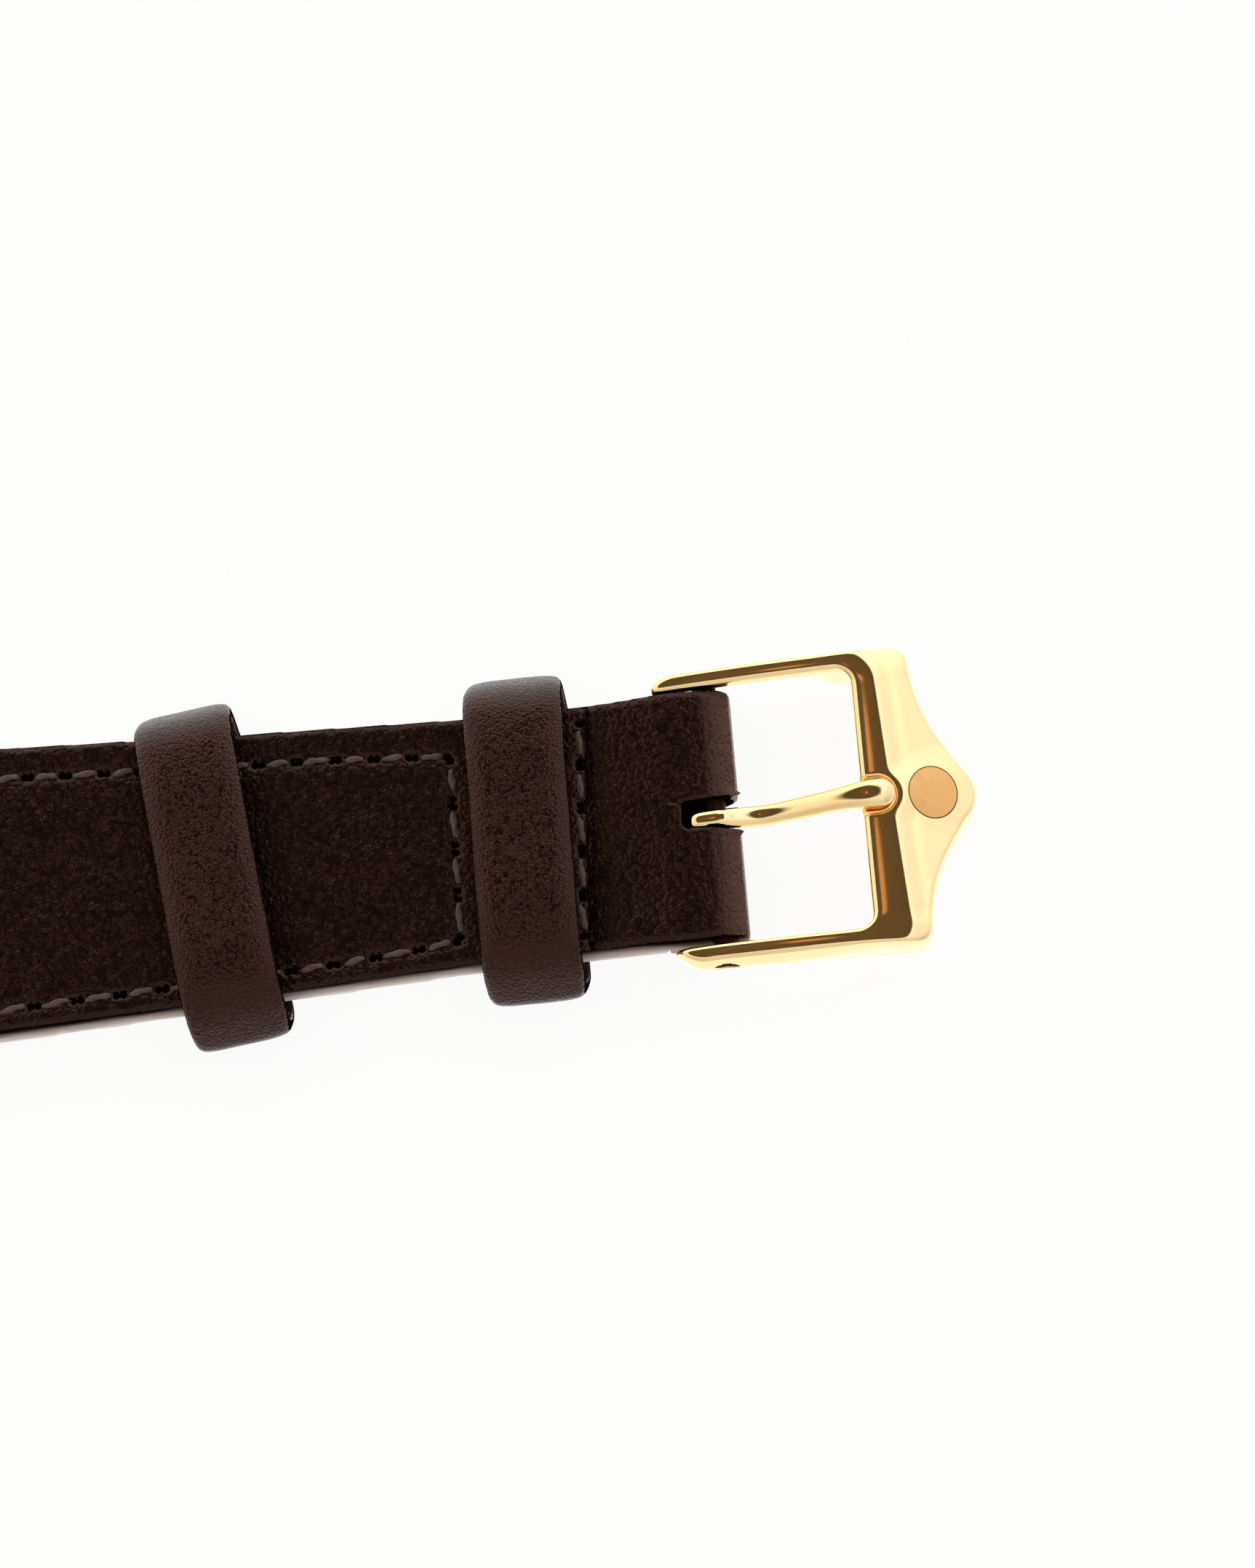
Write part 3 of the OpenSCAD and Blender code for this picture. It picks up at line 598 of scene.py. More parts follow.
def stitches(name, rows, width, top, seed):
    """Thread that shows between its holes: two twisted plies, ends sunk into the leather."""
    draw = np.random.default_rng(seed)
    rings, sides = 15, 10
    # How deep the thread lies, how far its middle arches up, and how far its ends dive into the holes
    sunk, arch, dive = 0.27, 0.2, 0.3
    # Twist of the plies, in radians for each millimetre
    lay = 3.2
    u = np.linspace(-1, 1, rings)
    turn = np.linspace(0, 2 * math.pi, sides, endpoint=False)
    points, faces = [], []
    for row, pitch, stitch in rows:
        places, along = walk(row, pitch)
        for middle, run in zip(places, along):
            half = stitch / 2 * (1 + draw.uniform(-0.14, 0.14))
            skew = draw.uniform(0.05, 0.19)
            run = np.array([run[0] - skew * run[1], run[1] + skew * run[0]])
            side = np.array([-run[1], run[0]])
            base = len(points)
            twist = draw.uniform(0, math.pi)
            for v in u:
                at = middle + run * v * half + side * 0.02 * math.sin(3 * v + twist)
                lift = top(at) - sunk + arch * (1 - abs(v) ** 3) - dive * abs(v) ** 8
                ply = 1 + 0.2 * np.cos(2 * (turn - lay * v * half - twist))
                girth = width / 2 * (1 - 0.45 * abs(v) ** 3) * ply
                across = girth * np.cos(turn) * 1.1
                points += [(at[0] + side[0] * a, at[1] + side[1] * a, lift + g * math.sin(t) * 0.9)
                           for a, g, t in zip(across, girth, turn)]
            for r in range(rings - 1):
                for s in range(sides):
                    a, b = base + r * sides + s, base + r * sides + (s + 1) % sides
                    faces.append((a, b, b + sides, a + sides))
            faces.append(tuple(range(base + sides - 1, base - 1, -1)))
            faces.append(tuple(range(base + (rings - 1) * sides, base + rings * sides)))
    return solid(name, points, faces)


def to_long(points):
    """From the watch's frame to the drawn frame of the half with the holes, which starts at its bar."""
    x, y, z = -points[:, 0], -points[:, 1] - BAR_REACH, points[:, 2] - BAR_Z
    c, s = math.cos(LONG_DROOP), math.sin(LONG_DROOP)
    return np.column_stack([x, c * y - s * z, s * y + c * z])


def from_long(points):
    """From the drawn frame of the half with the holes to the watch's frame."""
    x, y, z = points.T
    c, s = math.cos(LONG_DROOP), math.sin(LONG_DROOP)
    return np.column_stack([-x, -(c * y + s * z) - BAR_REACH, c * z - s * y + BAR_Z])


def cut_sides(mesh, steepness):
    """Which faces of a strap are its cut sides."""
    normals, middles = read_faces(mesh)
    return (np.abs(normals[:, 0]) > steepness) & (np.abs(middles[:, 0]) > 3)


def rounded_leather(name, node, voxel, rounds):
    """A close mesh of a leather node with soft edges: the object, its points and how far each faces up."""
    obj = remeshed(name, node, voxel)
    points = relax(read_points(obj.data), read_edges(obj.data), rounds)
    write_points(obj.data, points)
    return obj, points, read_normals(obj.data)


def slot_floor():
    """The leather left under the slot's inner end, where the strap folds back below the tongue's loop."""
    shape = bmesh.new()
    size = Matrix.Diagonal((2.6 * MM, 0.75 * MM, 0.42 * MM, 1))
    place = Matrix.Translation(Vector((0, 93.62, 1.42)) * MM)
    bmesh.ops.create_cube(shape, size=1, matrix=place @ size)
    bmesh.ops.bevel(shape, geom=shape.edges[:], offset=0.1 * MM, segments=2, affect="EDGES")
    mesh = bpy.data.meshes.new("strap_slot_floor")
    shape.to_mesh(mesh)
    shape.free()
    return new_object("strap_slot_floor", mesh)


class WATCH_OT_buckle_strap(bpy.types.Operator):
    """Makes the buckle half of the strap, with its lining and sewing"""
    bl_idname = "watch.buckle_strap"
    bl_label = "Buckle half of the strap"

    def execute(self, context):
        strap = context.scene.watch_strap
        pitch, stitch = strap.stitch_pitch / MM, strap.stitch_length / MM
        leather = grained_leather("Grained calf leather", strap.leather, strap.grain / MM, depth=0.044,
                                  roughness=0.27, pores=0.5, shine=0.34, crease_shade=0.12, sheen_span=SHEEN_SPAN)
        rows = short_rows(pitch, stitch)
        upper, points, normals = rounded_leather("strap_buckle_half", "short_strap_upper",
                                                 voxel=0.14, rounds=5)
        x, y = points[:, 0].copy(), points[:, 1].copy()
        up = smooth_step(0.3, 0.8, normals[:, 2])
        edge = np.interp(y, *zip(*SHORT_WIDTHS)) - np.abs(x)
        drop = sewn_dip(points[:, :2], rows) * (y < 91)
        aside, depth, width = FOLD_GROOVE
        groove = y - np.interp(x, *zip(*FOLD_ROW)) - aside
        drop += depth * np.exp(-(groove / width) ** 2)
        drop += 0.1 * (1 - smooth_step(0, 0.5, edge))
        # The leather bends down and creases where it turns over the pin
        drop += ROLL_DROP * np.clip((y - ROLL_Y) / ROLL_LENGTH, 0, 1) ** 2
        drop += 0.03 * smooth_step(94, 95.5, y) * np.sin(3.4 * y + 0.4 * np.sin(0.8 * x)) ** 6
        points[:, 2] += up * (soft_swell(x, y) - drop)
        # Squeezed wider by the pin, and torn a little at the corners of the slot
        points[:, 0] *= 1 + 0.016 * smooth_step(89, 94, y)
        side = np.abs(x)
        closer = (0.3 - 0.2 * smooth_step(93.5, 97, y)) * (1 - smooth_step(1.2, 3.2, side))
        closer *= smooth_step(92, 93.4, y)
        points[:, 0] -= np.sign(x) * np.where(side > 0.9, closer, 0)
        torn = np.exp(-((side - 1.36) / 0.2) ** 2 - ((points[:, 2] - 3.75) / 0.34) ** 2)
        points[:, 1] += 0.75 * torn * smooth_step(96, 96.9, y)
        write_points(upper.data, points)
        finish_piece(upper, leather, "short_strap", "strap_leather", "short_strap_upper")
        # Painted reflection of the white floor: the strap's cut sides turn pale towards the lining. Painted
        # shade: the cut inside the slot and the needle holes are painted nearly black
        painted_light = linear("#C4B4B1")
        edge_floor_reflection = cut_edge("Leather edge with painted floor reflection", scaled(strap.leather, 0.8), painted_light, (2.1, 3.7))
        cut_shade = cut_edge("Leather cut with painted shade", scaled(strap.leather, 0.4), scaled(strap.leather, 0.2),
                       (1.5, 4.0))
        normals, middles = read_faces(upper.data)
        paint(upper, cut_sides(upper.data, 0.72), edge_floor_reflection)
        in_slot = (np.abs(middles[:, 0]) < 2) & (np.abs(middles[:, 1] - 94) < 2.6) & (normals[:, 2] < 0.6)
        paint(upper, in_slot | (hole_gap(middles[:, :2], rows) < HOLE_R), cut_shade)
        # Painted shade: the leather under the slot gets the nearly black cut colour
        finish_piece(slot_floor(), cut_shade, "short_strap", "strap_leather")
        lining_leather = grained_leather("Lining leather", strap.lining, grain=0.5, depth=0.012,
                                         roughness=0.6, pores=0.5, shine=0.2, crease_shade=0.85)
        lining = rounded_leather("strap_buckle_half_lining", "short_strap_lining", voxel=0.2, rounds=4)[0]
        finish_piece(lining, lining_leather, "short_strap", "lining_leather", "short_strap_lining")
        # Painted reflection of the white floor: the lining's cut sides turn paler towards the floor
        lining_floor_reflection = cut_edge("Lining edge with painted floor reflection", painted_light, linear("#FBF7F6"), (1.4, 2.2))
        paint(lining, cut_sides(lining.data, 0.25), lining_floor_reflection)
        heights = tuple(zip(*SHORT_TOPS))
        thread = stitches("strap_buckle_half_stitches", rows, strap.thread_width / MM,
                          lambda at: np.interp(at[1], *heights), 5)
        finish_piece(thread, waxed_thread(strap.thread), "short_strap", "strap_leather")
        return {"FINISHED"}


class WATCH_OT_hole_strap(bpy.types.Operator):
    """Makes the half of the strap with the holes, with its lining and sewing"""
    bl_idname = "watch.hole_strap"
    bl_label = "Half of the strap with the holes"

    def execute(self, context):
        strap = context.scene.watch_strap
        pitch, stitch = strap.stitch_pitch / MM, strap.stitch_length / MM
        rows = long_rows(pitch, stitch)
        upper, points, normals = rounded_leather("strap_hole_half", "long_strap_upper", voxel=0.24, rounds=5)
        drawn = to_long(points)
        x, y = drawn[:, 0], drawn[:, 1] + BAR_REACH
        up = smooth_step(0.3, 0.8, normals[:, 2])
        edge = line_distance(np.column_stack([np.abs(x), y]), long_edge())
        drop = sewn_dip(np.column_stack([x, y]), rows)
        drop += 0.3 * (1 - smooth_step(0, 1.5, edge)) * (y > LUG_STITCH_Y)
        drawn[:, 2] += up * (soft_swell(x, y + 50) - drop)
        write_points(upper.data, from_long(drawn))
        finish_piece(upper, bpy.data.materials["Grained calf leather"], "long_strap", "strap_leather",
                     "long_strap_upper")
        painted = cut_edge("Painted leather edge", scaled(strap.leather, 0.8), scaled(strap.leather, 0.5),
                           (0.0, 2.0))
        paint(upper, cut_sides(upper.data, 0.72), painted)
        middles = to_long(read_faces(upper.data)[1]) + (0, BAR_REACH, 0)
        # Painted shade: the needle holes are painted nearly black
        paint(upper, hole_gap(middles[:, :2], rows) < HOLE_R, bpy.data.materials["Leather cut with painted shade"])
        lining = rounded_leather("strap_hole_half_lining", "long_strap_lining", voxel=0.24, rounds=3)[0]
        finish_piece(lining, bpy.data.materials["Lining leather"], "long_strap", "lining_leather",
                     "long_strap_lining")
        heights = tuple(zip(*LONG_TOPS))
        thread = stitches("strap_hole_half_stitches", rows, strap.thread_width / MM,
                          lambda at: np.interp(at[1] - BAR_REACH, *heights), 9)
        drawn = read_points(thread.data)
        drawn[:, 1] -= BAR_REACH
        write_points(thread.data, from_long(drawn))
        finish_piece(thread, bpy.data.materials["Waxed polyester thread"], "long_strap", "strap_leather")
        return {"FINISHED"}


KEEPER_WALL = 1.05
# Radii of a keeper's outside corners: top, foot
KEEPER_ROUND = (3.2, 2.0)
# Width and depth of its rolled edges, and of the bend at each end of its top
KEEPER_ROLL = (1.6, 0.42)
KEEPER_BEND = (6.5, 0.95)


def keeper_outside(out, z, half, high):
    """Distance in a keeper's cross-section to its outer face, negative inside."""
    middle = high / 2
    return np.maximum(round_box(out, z - middle, half, middle, KEEPER_ROUND[0]),
                      round_box(out, middle - z, half, middle, KEEPER_ROUND[1]))


def bowed(points, skew):
    """A keeper with rolled edges, its top bent down at the ends and its sides drawn in at the foot."""
    low, high = points.min(0), points.max(0)
    middle = (low + high) / 2
    c, s = math.cos(skew), math.sin(skew)
    flat = (points[:, :2] - middle[:2]) @ np.array([[c, -s], [s, c]])
    out, along, z = flat[:, 0], flat[:, 1], points[:, 2] - low[2]
    half = np.abs(out).max()
    side, sign, size = np.abs(out), np.sign(out), (half, z.max())
    width, sunk = KEEPER_ROLL
    rolled = np.clip((np.abs(along) - np.abs(along).max() + width) / width, 0, 1)
    depth = sunk * rolled ** 2 * np.clip(1 + keeper_outside(side, z, *size) / KEEPER_WALL, 0, 1)
    step = 0.02
    lean_out = (keeper_outside(side + step, z, *size) - keeper_outside(side - step, z, *size)) / (2 * step)
    depth *= 1 - 0.6 * np.abs(lean_out)
    lean_z = (keeper_outside(side, z + step, *size) - keeper_outside(side, z - step, *size)) / (2 * step)
    out, z = out - depth * lean_out * sign, z - depth * lean_z
    reach, fall = KEEPER_BEND
    end = np.clip((side - half + reach) / reach, 0, 1)
    tip = np.clip((side - half + 1.3) / 1.3, 0, 1)
    wide = 1 + 0.027 * np.exp(-((z - 3.9) / 1.7) ** 2) - 0.055 * (1 - smooth_step(0.4, 3, z))
    turned = np.column_stack([out * wide, along * (1 - 0.1 * tip ** 2)])
    bent = np.empty_like(points)
    bent[:, :2] = turned @ np.array([[c, s], [-s, c]]) + middle[:2]
    bent[:, 2] = low[2] + z - fall * end ** 2 * smooth_step(2, 5.5, z)
    return bent


def shifted(points, turn, x, y, width):
    """Points spread and turned about their middle in plan, and moved."""
    middle = (points.min(0) + points.max(0))[:2] / 2
    c, s = math.cos(turn), math.sin(turn)
    moved = points.copy()
    moved[:, :2] = (points[:, :2] - middle) * (width, 1) @ np.array([[c, s], [-s, c]]) + middle + (x, y)
    return moved


class WATCH_OT_keepers(bpy.types.Operator):
    """Makes the sewn keeper and the loose keeper"""
    bl_idname = "watch.keepers"
    bl_label = "Keepers"

    def execute(self, context):
        strap = context.scene.watch_strap
        leather = grained_leather("Smooth calf leather", strap.keeper, grain=0.26, depth=0.045,
                                  roughness=0.23, pores=0.22, shine=0.42, crease_shade=0.25)
        cut = cut_edge("Painted keeper edge", strap.keeper, scaled(strap.keeper, 0.6), (0.0, 6.0))
        for name, node, body, skew, shift in (
                ("keeper_sewn", "fixed_keeper", "short_strap", 0, (0, 0, 0, 1)),
                ("keeper_loose", "free_keeper", "free_keeper", FREE_SKEW, FREE_SHIFT)):
            obj, points, normals = rounded_leather(name, node, voxel=0.13, rounds=13)
            swell = soft_swell(points[:, 0] * 1.3, points[:, 1] * 1.3 + points[:, 2])
            points += normals * swell[:, None] * 0.8
            write_points(obj.data, shifted(bowed(points, skew), *shift))
            finish_piece(obj, leather, body, "keeper_leather", node)
            paint(obj, np.abs(read_faces(obj.data)[0][:, 1]) > 0.8, cut)
        return {"FINISHED"}


# Buckle: surfaces as distances, in millimetres from the pin's middle, negative inside the metal

ARM_BACK = -3.65
ARM_END_SKEW = 0.033
ARM_OUTER = 9.2
ARM_SPREAD = 0.0425
ARM_SWELL = 0.5
# The arm on the crown side is bent outwards a little
BENT_ARM = 0.028
BENT_FROM = 9
CORNER_Y = 12.6
FRONT_HALF = 9.75
NOSE_R = 2.3
NOSE_REACH = 16.4
WINDOW_HALF = 8.5
ARM_INNER = 8.2
WINDOW_REACH = 9.3
WINDOW_ROUND = 0.9
RIM_FRONT = 1.54
FRAME_LOW = -1.6
BAR_LOW = -1.95
RIM_Y = 11.2
RIM_SKEW = 0.058
# Corner of the rim on the crown side, and on the other
RIM_ROUND = (1.3, 2.1)
# The rim swings round the tongue's tip
SWING_Y = 10.65
SWING_R = 1.27
# The notch that the tongue's tip rests in
REST_Y = 11.55
REST_R = 1.2
REST_FLOOR = 1.15
PIN_HOLE_R = 0.86
DISC_Y = 13.8
DISC_FLAT = 0.87


def nose_table():
    """The front outline of the buckle as [x, y], from the nose's tip to its corner."""
    turn = np.radians(np.linspace(90, 45, 40))
    arc = np.column_stack([NOSE_R * np.cos(turn), NOSE_REACH - NOSE_R + NOSE_R * np.sin(turn)])
    flank = cubic(arc[-1], (3.7, 14.3), (6, 12.85), (FRONT_HALF - 0.2, CORNER_Y + 0.35), 120)[1:]
    return np.concatenate([arc, flank, [[12, CORNER_Y + 0.3]]])


def fall_table():
    """How far the front plate falls below the rim as [distance from the rim, z]."""
    far = np.linspace(-12, 12, 1201)
    slope = -0.17 * smooth_step(-0.03, 0.05, far) - 0.15 * smooth_step(0.05, 0.4, far)
    slope += 0.12 * smooth_step(0.8, 1.1, far) - 0.07 * smooth_step(1.25, 1.7, far)
    z = np.cumsum(slope) * (far[1] - far[0])
    return far, z


NOSE = nose_table()
FALL_FAR, FALL_Z = fall_table()


def bent_out(x, y):
    """How far the bent arm stands out."""
    return np.where(x > 0, BENT_ARM * np.maximum(BENT_FROM - y, 0), 0)


def arm_edge(x, y):
    """Half width of the frame's top at a distance from the pin."""
    back = np.clip((ARM_END_SKEW * x - 1.4 - y) / 1.8, 0, 1)
    return ARM_OUTER - 0.1 + ARM_SPREAD * (y + 0.36) - 0.85 * back ** 2.2 + bent_out(x, y)


def window_distance(x, y):
    """Distance in plan to the window, negative in it."""
    half = ARM_INNER + (WINDOW_HALF - ARM_INNER) * np.clip((y - ARM_BACK) / (WINDOW_REACH - ARM_BACK), 0, 1)
    return round_box(np.abs(x), y, half + bent_out(x, y), WINDOW_REACH, WINDOW_ROUND)


def front_share(side, y):
    """1 along the front bar, 0 along the arms."""
    return smooth_step(8, 9.6, y) * (1 - smooth_step(7.4, 8.6, side))


def frame_top(x, y):
    """Height of the frame's upper face: a slightly crowned rim round the window, and a falling plate."""
    side = np.abs(x)
    rim = round_box(side, y - RIM_SKEW * x, arm_edge(x, y) + 0.05, RIM_Y, np.where(x > 0, *RIM_ROUND))
    around_tip = np.hypot(side, np.maximum(y - SWING_Y, 0)) - SWING_R
    rim = -smooth_max(-rim, -around_tip, 0.5)
    into = window_distance(x, y)
    across = into - 1.05
    steep = np.maximum(across - 0.95, 0)
    bar_z = -0.026 * across - 0.0375 * (across ** 2 - steep ** 2) - 0.0025 * (side - 4.75) ** 2
    crown = 0.16 * (into - 0.5) ** 2 * (1 - smooth_step(7, 9.3, y))
    arm_z = 0.0045 * (35.6 - (y - 4.2) ** 2) - 0.02 * np.minimum(y, 0) ** 2 - crown
    bar = front_share(side, y)
    return RIM_FRONT + bar * bar_z + (1 - bar) * arm_z + np.interp(rim, FALL_FAR, FALL_Z)


def frame_distance(p):
    """Distance to the buckle's frame."""
    x, y, z = np.abs(p[:, 0]), p[:, 1], p[:, 2]
    swell = ARM_SWELL - 0.36 * smooth_step(3, 11, y)
    wide = arm_edge(p[:, 0], y) + swell * np.clip(1 - ((z - 0.35) / 1.6) ** 2, 0, 1)
    front_y = np.interp(x, NOSE[:, 0], NOSE[:, 1])
    lean = (np.interp(x + 0.05, NOSE[:, 0], NOSE[:, 1]) - np.interp(x - 0.05, NOSE[:, 0], NOSE[:, 1])) / 0.1
    outline = smooth_max(x - wide, (y - front_y) / np.sqrt(1 + lean ** 2), 1.3)
    top = frame_top(p[:, 0], y)
    low = np.interp(y, [2, WINDOW_REACH - 2, WINDOW_REACH + 1.5, NOSE_REACH],
                    [FRAME_LOW, BAR_LOW, BAR_LOW, FRAME_LOW])
    profile = smooth_max(smooth_max(z - top, low - z, 0.1), ARM_BACK + ARM_END_SKEW * p[:, 0] - y, 1.2)
    body = smooth_max(outline, profile, 0.2)
    under = 0.25 * np.maximum(0.9 - z, 0)
    cut = window_distance(p[:, 0], y) - under * (1 - smooth_step(6, 9, y))
    body = smooth_max(body, -cut, 0.4 + 0.2 * front_share(x, y))
    rest = np.hypot(x, np.maximum(y - (REST_Y - REST_R), 0)) - REST_R
    body = smooth_max(body, -smooth_max(rest, REST_FLOOR - z, 0.4), 0.1)
    return smooth_max(body, PIN_HOLE_R - np.hypot(y, z), 0.1)


TONGUE_W = 1.8
TONGUE_T = 0.9
TONGUE_LOOP_R = 1.45
TONGUE_LOOP_Y = -0.3
# Places on the tongue's middle line as [y, z]: behind the loop, lowest, highest, tip
TONGUE_TURNS = np.array([[0.7, 0.89], [2.9, 0.45], [9.7, 1.95], [11.5, 1.62]])
# It has slid along the pin, and points back to the middle of the rest
TONGUE_ASIDE = 0.37
TONGUE_YAW = 0.03


def tongue_line():
    """The middle of the tongue's bar as [y, z]."""
    root, dip, crest, tip = TONGUE_TURNS
    return np.concatenate([
        cubic(root, root + (0.8, -0.16), dip - (0.7, 0), dip, 40),
        cubic(dip, dip + (2.05, 0), crest - (1.9, 0), crest, 120)[1:],
        cubic(crest, crest + (0.6, 0), tip + (-0.5, 0.14), tip, 40)[1:]])


TONGUE_LINE = tongue_line()
TONGUE_SLOPE = np.gradient(TONGUE_LINE[:, 1], TONGUE_LINE[:, 0])


def tongue_distance(p):
    """Distance to the tongue: a flattened bar that swells at its tip, and a loop that is flat on top."""
    y, z = p[:, 1], p[:, 2]
    x = p[:, 0] - TONGUE_ASIDE + TONGUE_YAW * y
    middle = np.interp(y, TONGUE_LINE[:, 0], TONGUE_LINE[:, 1])
    lean = np.interp(y, TONGUE_LINE[:, 0], TONGUE_SLOPE)
    bar = smooth_max(np.abs(z - middle) / np.sqrt(1 + lean ** 2) - TONGUE_T / 2, 0.5 - y, 0.2)
    power = np.where(z > 0, 3.6, 2.0)
    loop = (np.abs(y - TONGUE_LOOP_Y) ** power + np.abs(z) ** power) ** (1 / power) - TONGUE_LOOP_R
    side_view = -smooth_max(-bar, -loop, 0.12)
    half_w = (0.63 + 0.05 * smooth_step(0, 2.5, y) + 0.03 * smooth_step(4, 7, y)
              + 0.19 * smooth_step(7, 10.2, y))
    past = np.maximum(y - TONGUE_TURNS[3, 0] + TONGUE_W / 2, 0) * 2 / TONGUE_W
    wide = np.hypot(x / half_w, past)
    deep = np.maximum(1 + side_view / (TONGUE_T / 2), 0)
    body = ((wide ** 2.3 + deep ** 2.3) ** (1 / 2.3) - 1) * TONGUE_T / 2
    return smooth_max(body, PIN_HOLE_R + 0.03 - np.hypot(y, z), 0.12)


def drawn_to(points, distance, most):
    """Points moved towards a surface, by no more than most times its slope, and that slope."""
    step = 0.004
    here = distance(points)
    slope = np.column_stack([(distance(points + step * axis) - here) / step for axis in np.eye(3)])
    move = here / np.maximum((slope ** 2).sum(1), 0.25)
    return points - np.clip(move, -most, most)[:, None] * slope, slope


def settle(points, edges, distance, rounds):
    """Moves a close mesh onto a surface, keeping its points evenly spread."""
    for _ in range(rounds):
        for _ in range(2):
            points, slope = drawn_to(points, distance, 0.25)
        drift = neighbour_mean(points, edges) - points
        normal = slope / np.maximum(np.linalg.norm(slope, axis=1), 1e-6)[:, None]
        points = points + 0.6 * (drift - (drift * normal).sum(1)[:, None] * normal)
    for _ in range(3):
        points = drawn_to(points, distance, 0.1)[0]
    return points


def cast_piece(name, node, voxel, distance):
    """A polished metal piece, drawn onto its surface from the CAD node's mesh."""
    obj = remeshed(name, node, voxel)
    edges = read_edges(obj.data)
    from_pin = np.array([0, PIN_Y, PIN_Z])
    points = settle(read_points(obj.data) - from_pin, edges, distance, 7)
    write_points(obj.data, points + from_pin)
    smooth = read_normals(obj.data)
    for _ in range(2):
        smooth = 0.5 * (smooth + neighbour_mean(smooth, edges))
    smooth /= np.linalg.norm(smooth, axis=1)[:, None]
    obj.data.normals_split_custom_set_from_vertices(smooth)
    return obj


def plate_disc(radius):
    """A thin matt disc with a line round it, lying on the buckle's front plate."""
    sides = 72
    line = 0.07
    rings = [(r, 0.012) for r in (0.0, radius * 0.5, radius - line, radius)] + [(radius + 0.02, -0.05)]
    points, faces = [], []
    for r, lift in rings:
        for i in range(sides):
            turn = 2 * math.pi * i / sides
            x, y = r * math.cos(turn), DISC_Y + DISC_FLAT * r * math.sin(turn)
            points.append((x, y + PIN_Y, frame_top(x, y) + lift + PIN_Z))
    for k in range(len(rings) - 1):
        for i in range(sides):
            a, b = k * sides + i, k * sides + (i + 1) % sides
            faces.append((a, a + sides, b + sides, b))
    obj = solid("buckle_disc", points, faces)
    obj.data.shade_flat()
    weld = bmesh.new()
    weld.from_mesh(obj.data)
    bmesh.ops.remove_doubles(weld, verts=weld.verts, dist=1e-7)
    weld.to_mesh(obj.data)
    weld.free()
    return obj


class WATCH_OT_buckle(bpy.types.Operator):
    """Makes the buckle's frame, tongue, pin and plain disc"""
    bl_idname = "watch.buckle"
    bl_label = "Buckle"

    def execute(self, context):
        buckle = context.scene.watch_buckle
        gold = polished_metal("Polished gold plate", buckle.gold, buckle.polish, 0.0008)
        obj = cast_piece("buckle_bow", "buckle_frame", 0.09, frame_distance)
        finish_piece(obj, gold, "buckle", "gold_plate", "buckle_frame")
        obj = cast_piece("buckle_tang", "buckle_tongue", 0.08, tongue_distance)
        finish_piece(obj, gold, "tongue", "gold_plate", "buckle_tongue")
        # Sandblasted under the plating: matt, warmer than the mirror round it
        satin = satin_metal("Satin gold plate", buckle.satin, 0.42, 0.1, 0.006)
        disc = plate_disc(buckle.disc_radius / MM)
        finish_piece(disc, satin, "buckle", "gold_plate")
        # Painted shade: a dark brown line round the disc's edge, and a dark brown pin whose end shows in the
        # frame's hole
        groove_shade = satin_metal("Brass with painted edge shade", linear("#5E3F22"), 0.5, 0.1, 0.004)
        disc.data.materials.append(groove_shade)
        for face in disc.data.polygons:
            reach = math.hypot(face.center.x, (face.center.y - (PIN_Y + DISC_Y) * MM) / DISC_FLAT)
            face.material_index = reach > buckle.disc_radius - 0.1 * MM
        dress("buckle_pin", satin_metal("Brass with painted hole shade", linear("#2E1D10"), 0.5, 0.1, 0.004), 0.1)
        return {"FINISHED"}


class WATCH_OT_head(bpy.types.Operator):
    """Dresses the case, its covers, the crown and the spring bars"""
    bl_idname = "watch.head"
    bl_label = "Case"

    def execute(self, context):
        head = context.scene.watch_head
        gold = bpy.data.materials["Polished gold plate"]
        steel = polished_metal("Polished stainless steel", head.steel, 0.12, 0.001)
        dress("case_body", gold, 0.18)
        dress("bezel", gold, 0.15)
        dress("crown", gold, 0.06, 40)
        dress("crown_tube", gold, 0.05)
        dress("crystal", mineral_glass(), 0.12)
        brushed = satin_metal("Brushed stainless steel", head.steel, 0.3, 0.12, 0.004)
        dress("case_back", brushed, 0.15)
        for name in ("spring_bar_12", "spring_bar_6", "stem"):
            dress(name, steel, 0.08)
        dress("setting_lever", brushed, 0.04)
        dress("crystal_gasket", moulded("Nylon glass seal", linear("#E9E2D0"), 0.5, 0.3))
        rubber = moulded("Black nitrile rubber", linear("#1B1B1C"), 0.6, 0.15)
        dress("crown_gasket", rubber)
        dress("case_back_gasket", rubber)
        return {"FINISHED"}


# Printed ticks as half width, inner end and outer end: on the minutes, and beyond the hour markers
MINUTE_TICK = (0.09, 14.35, 15.1)
HOUR_TICK = (0.13, 14.95, 15.2)


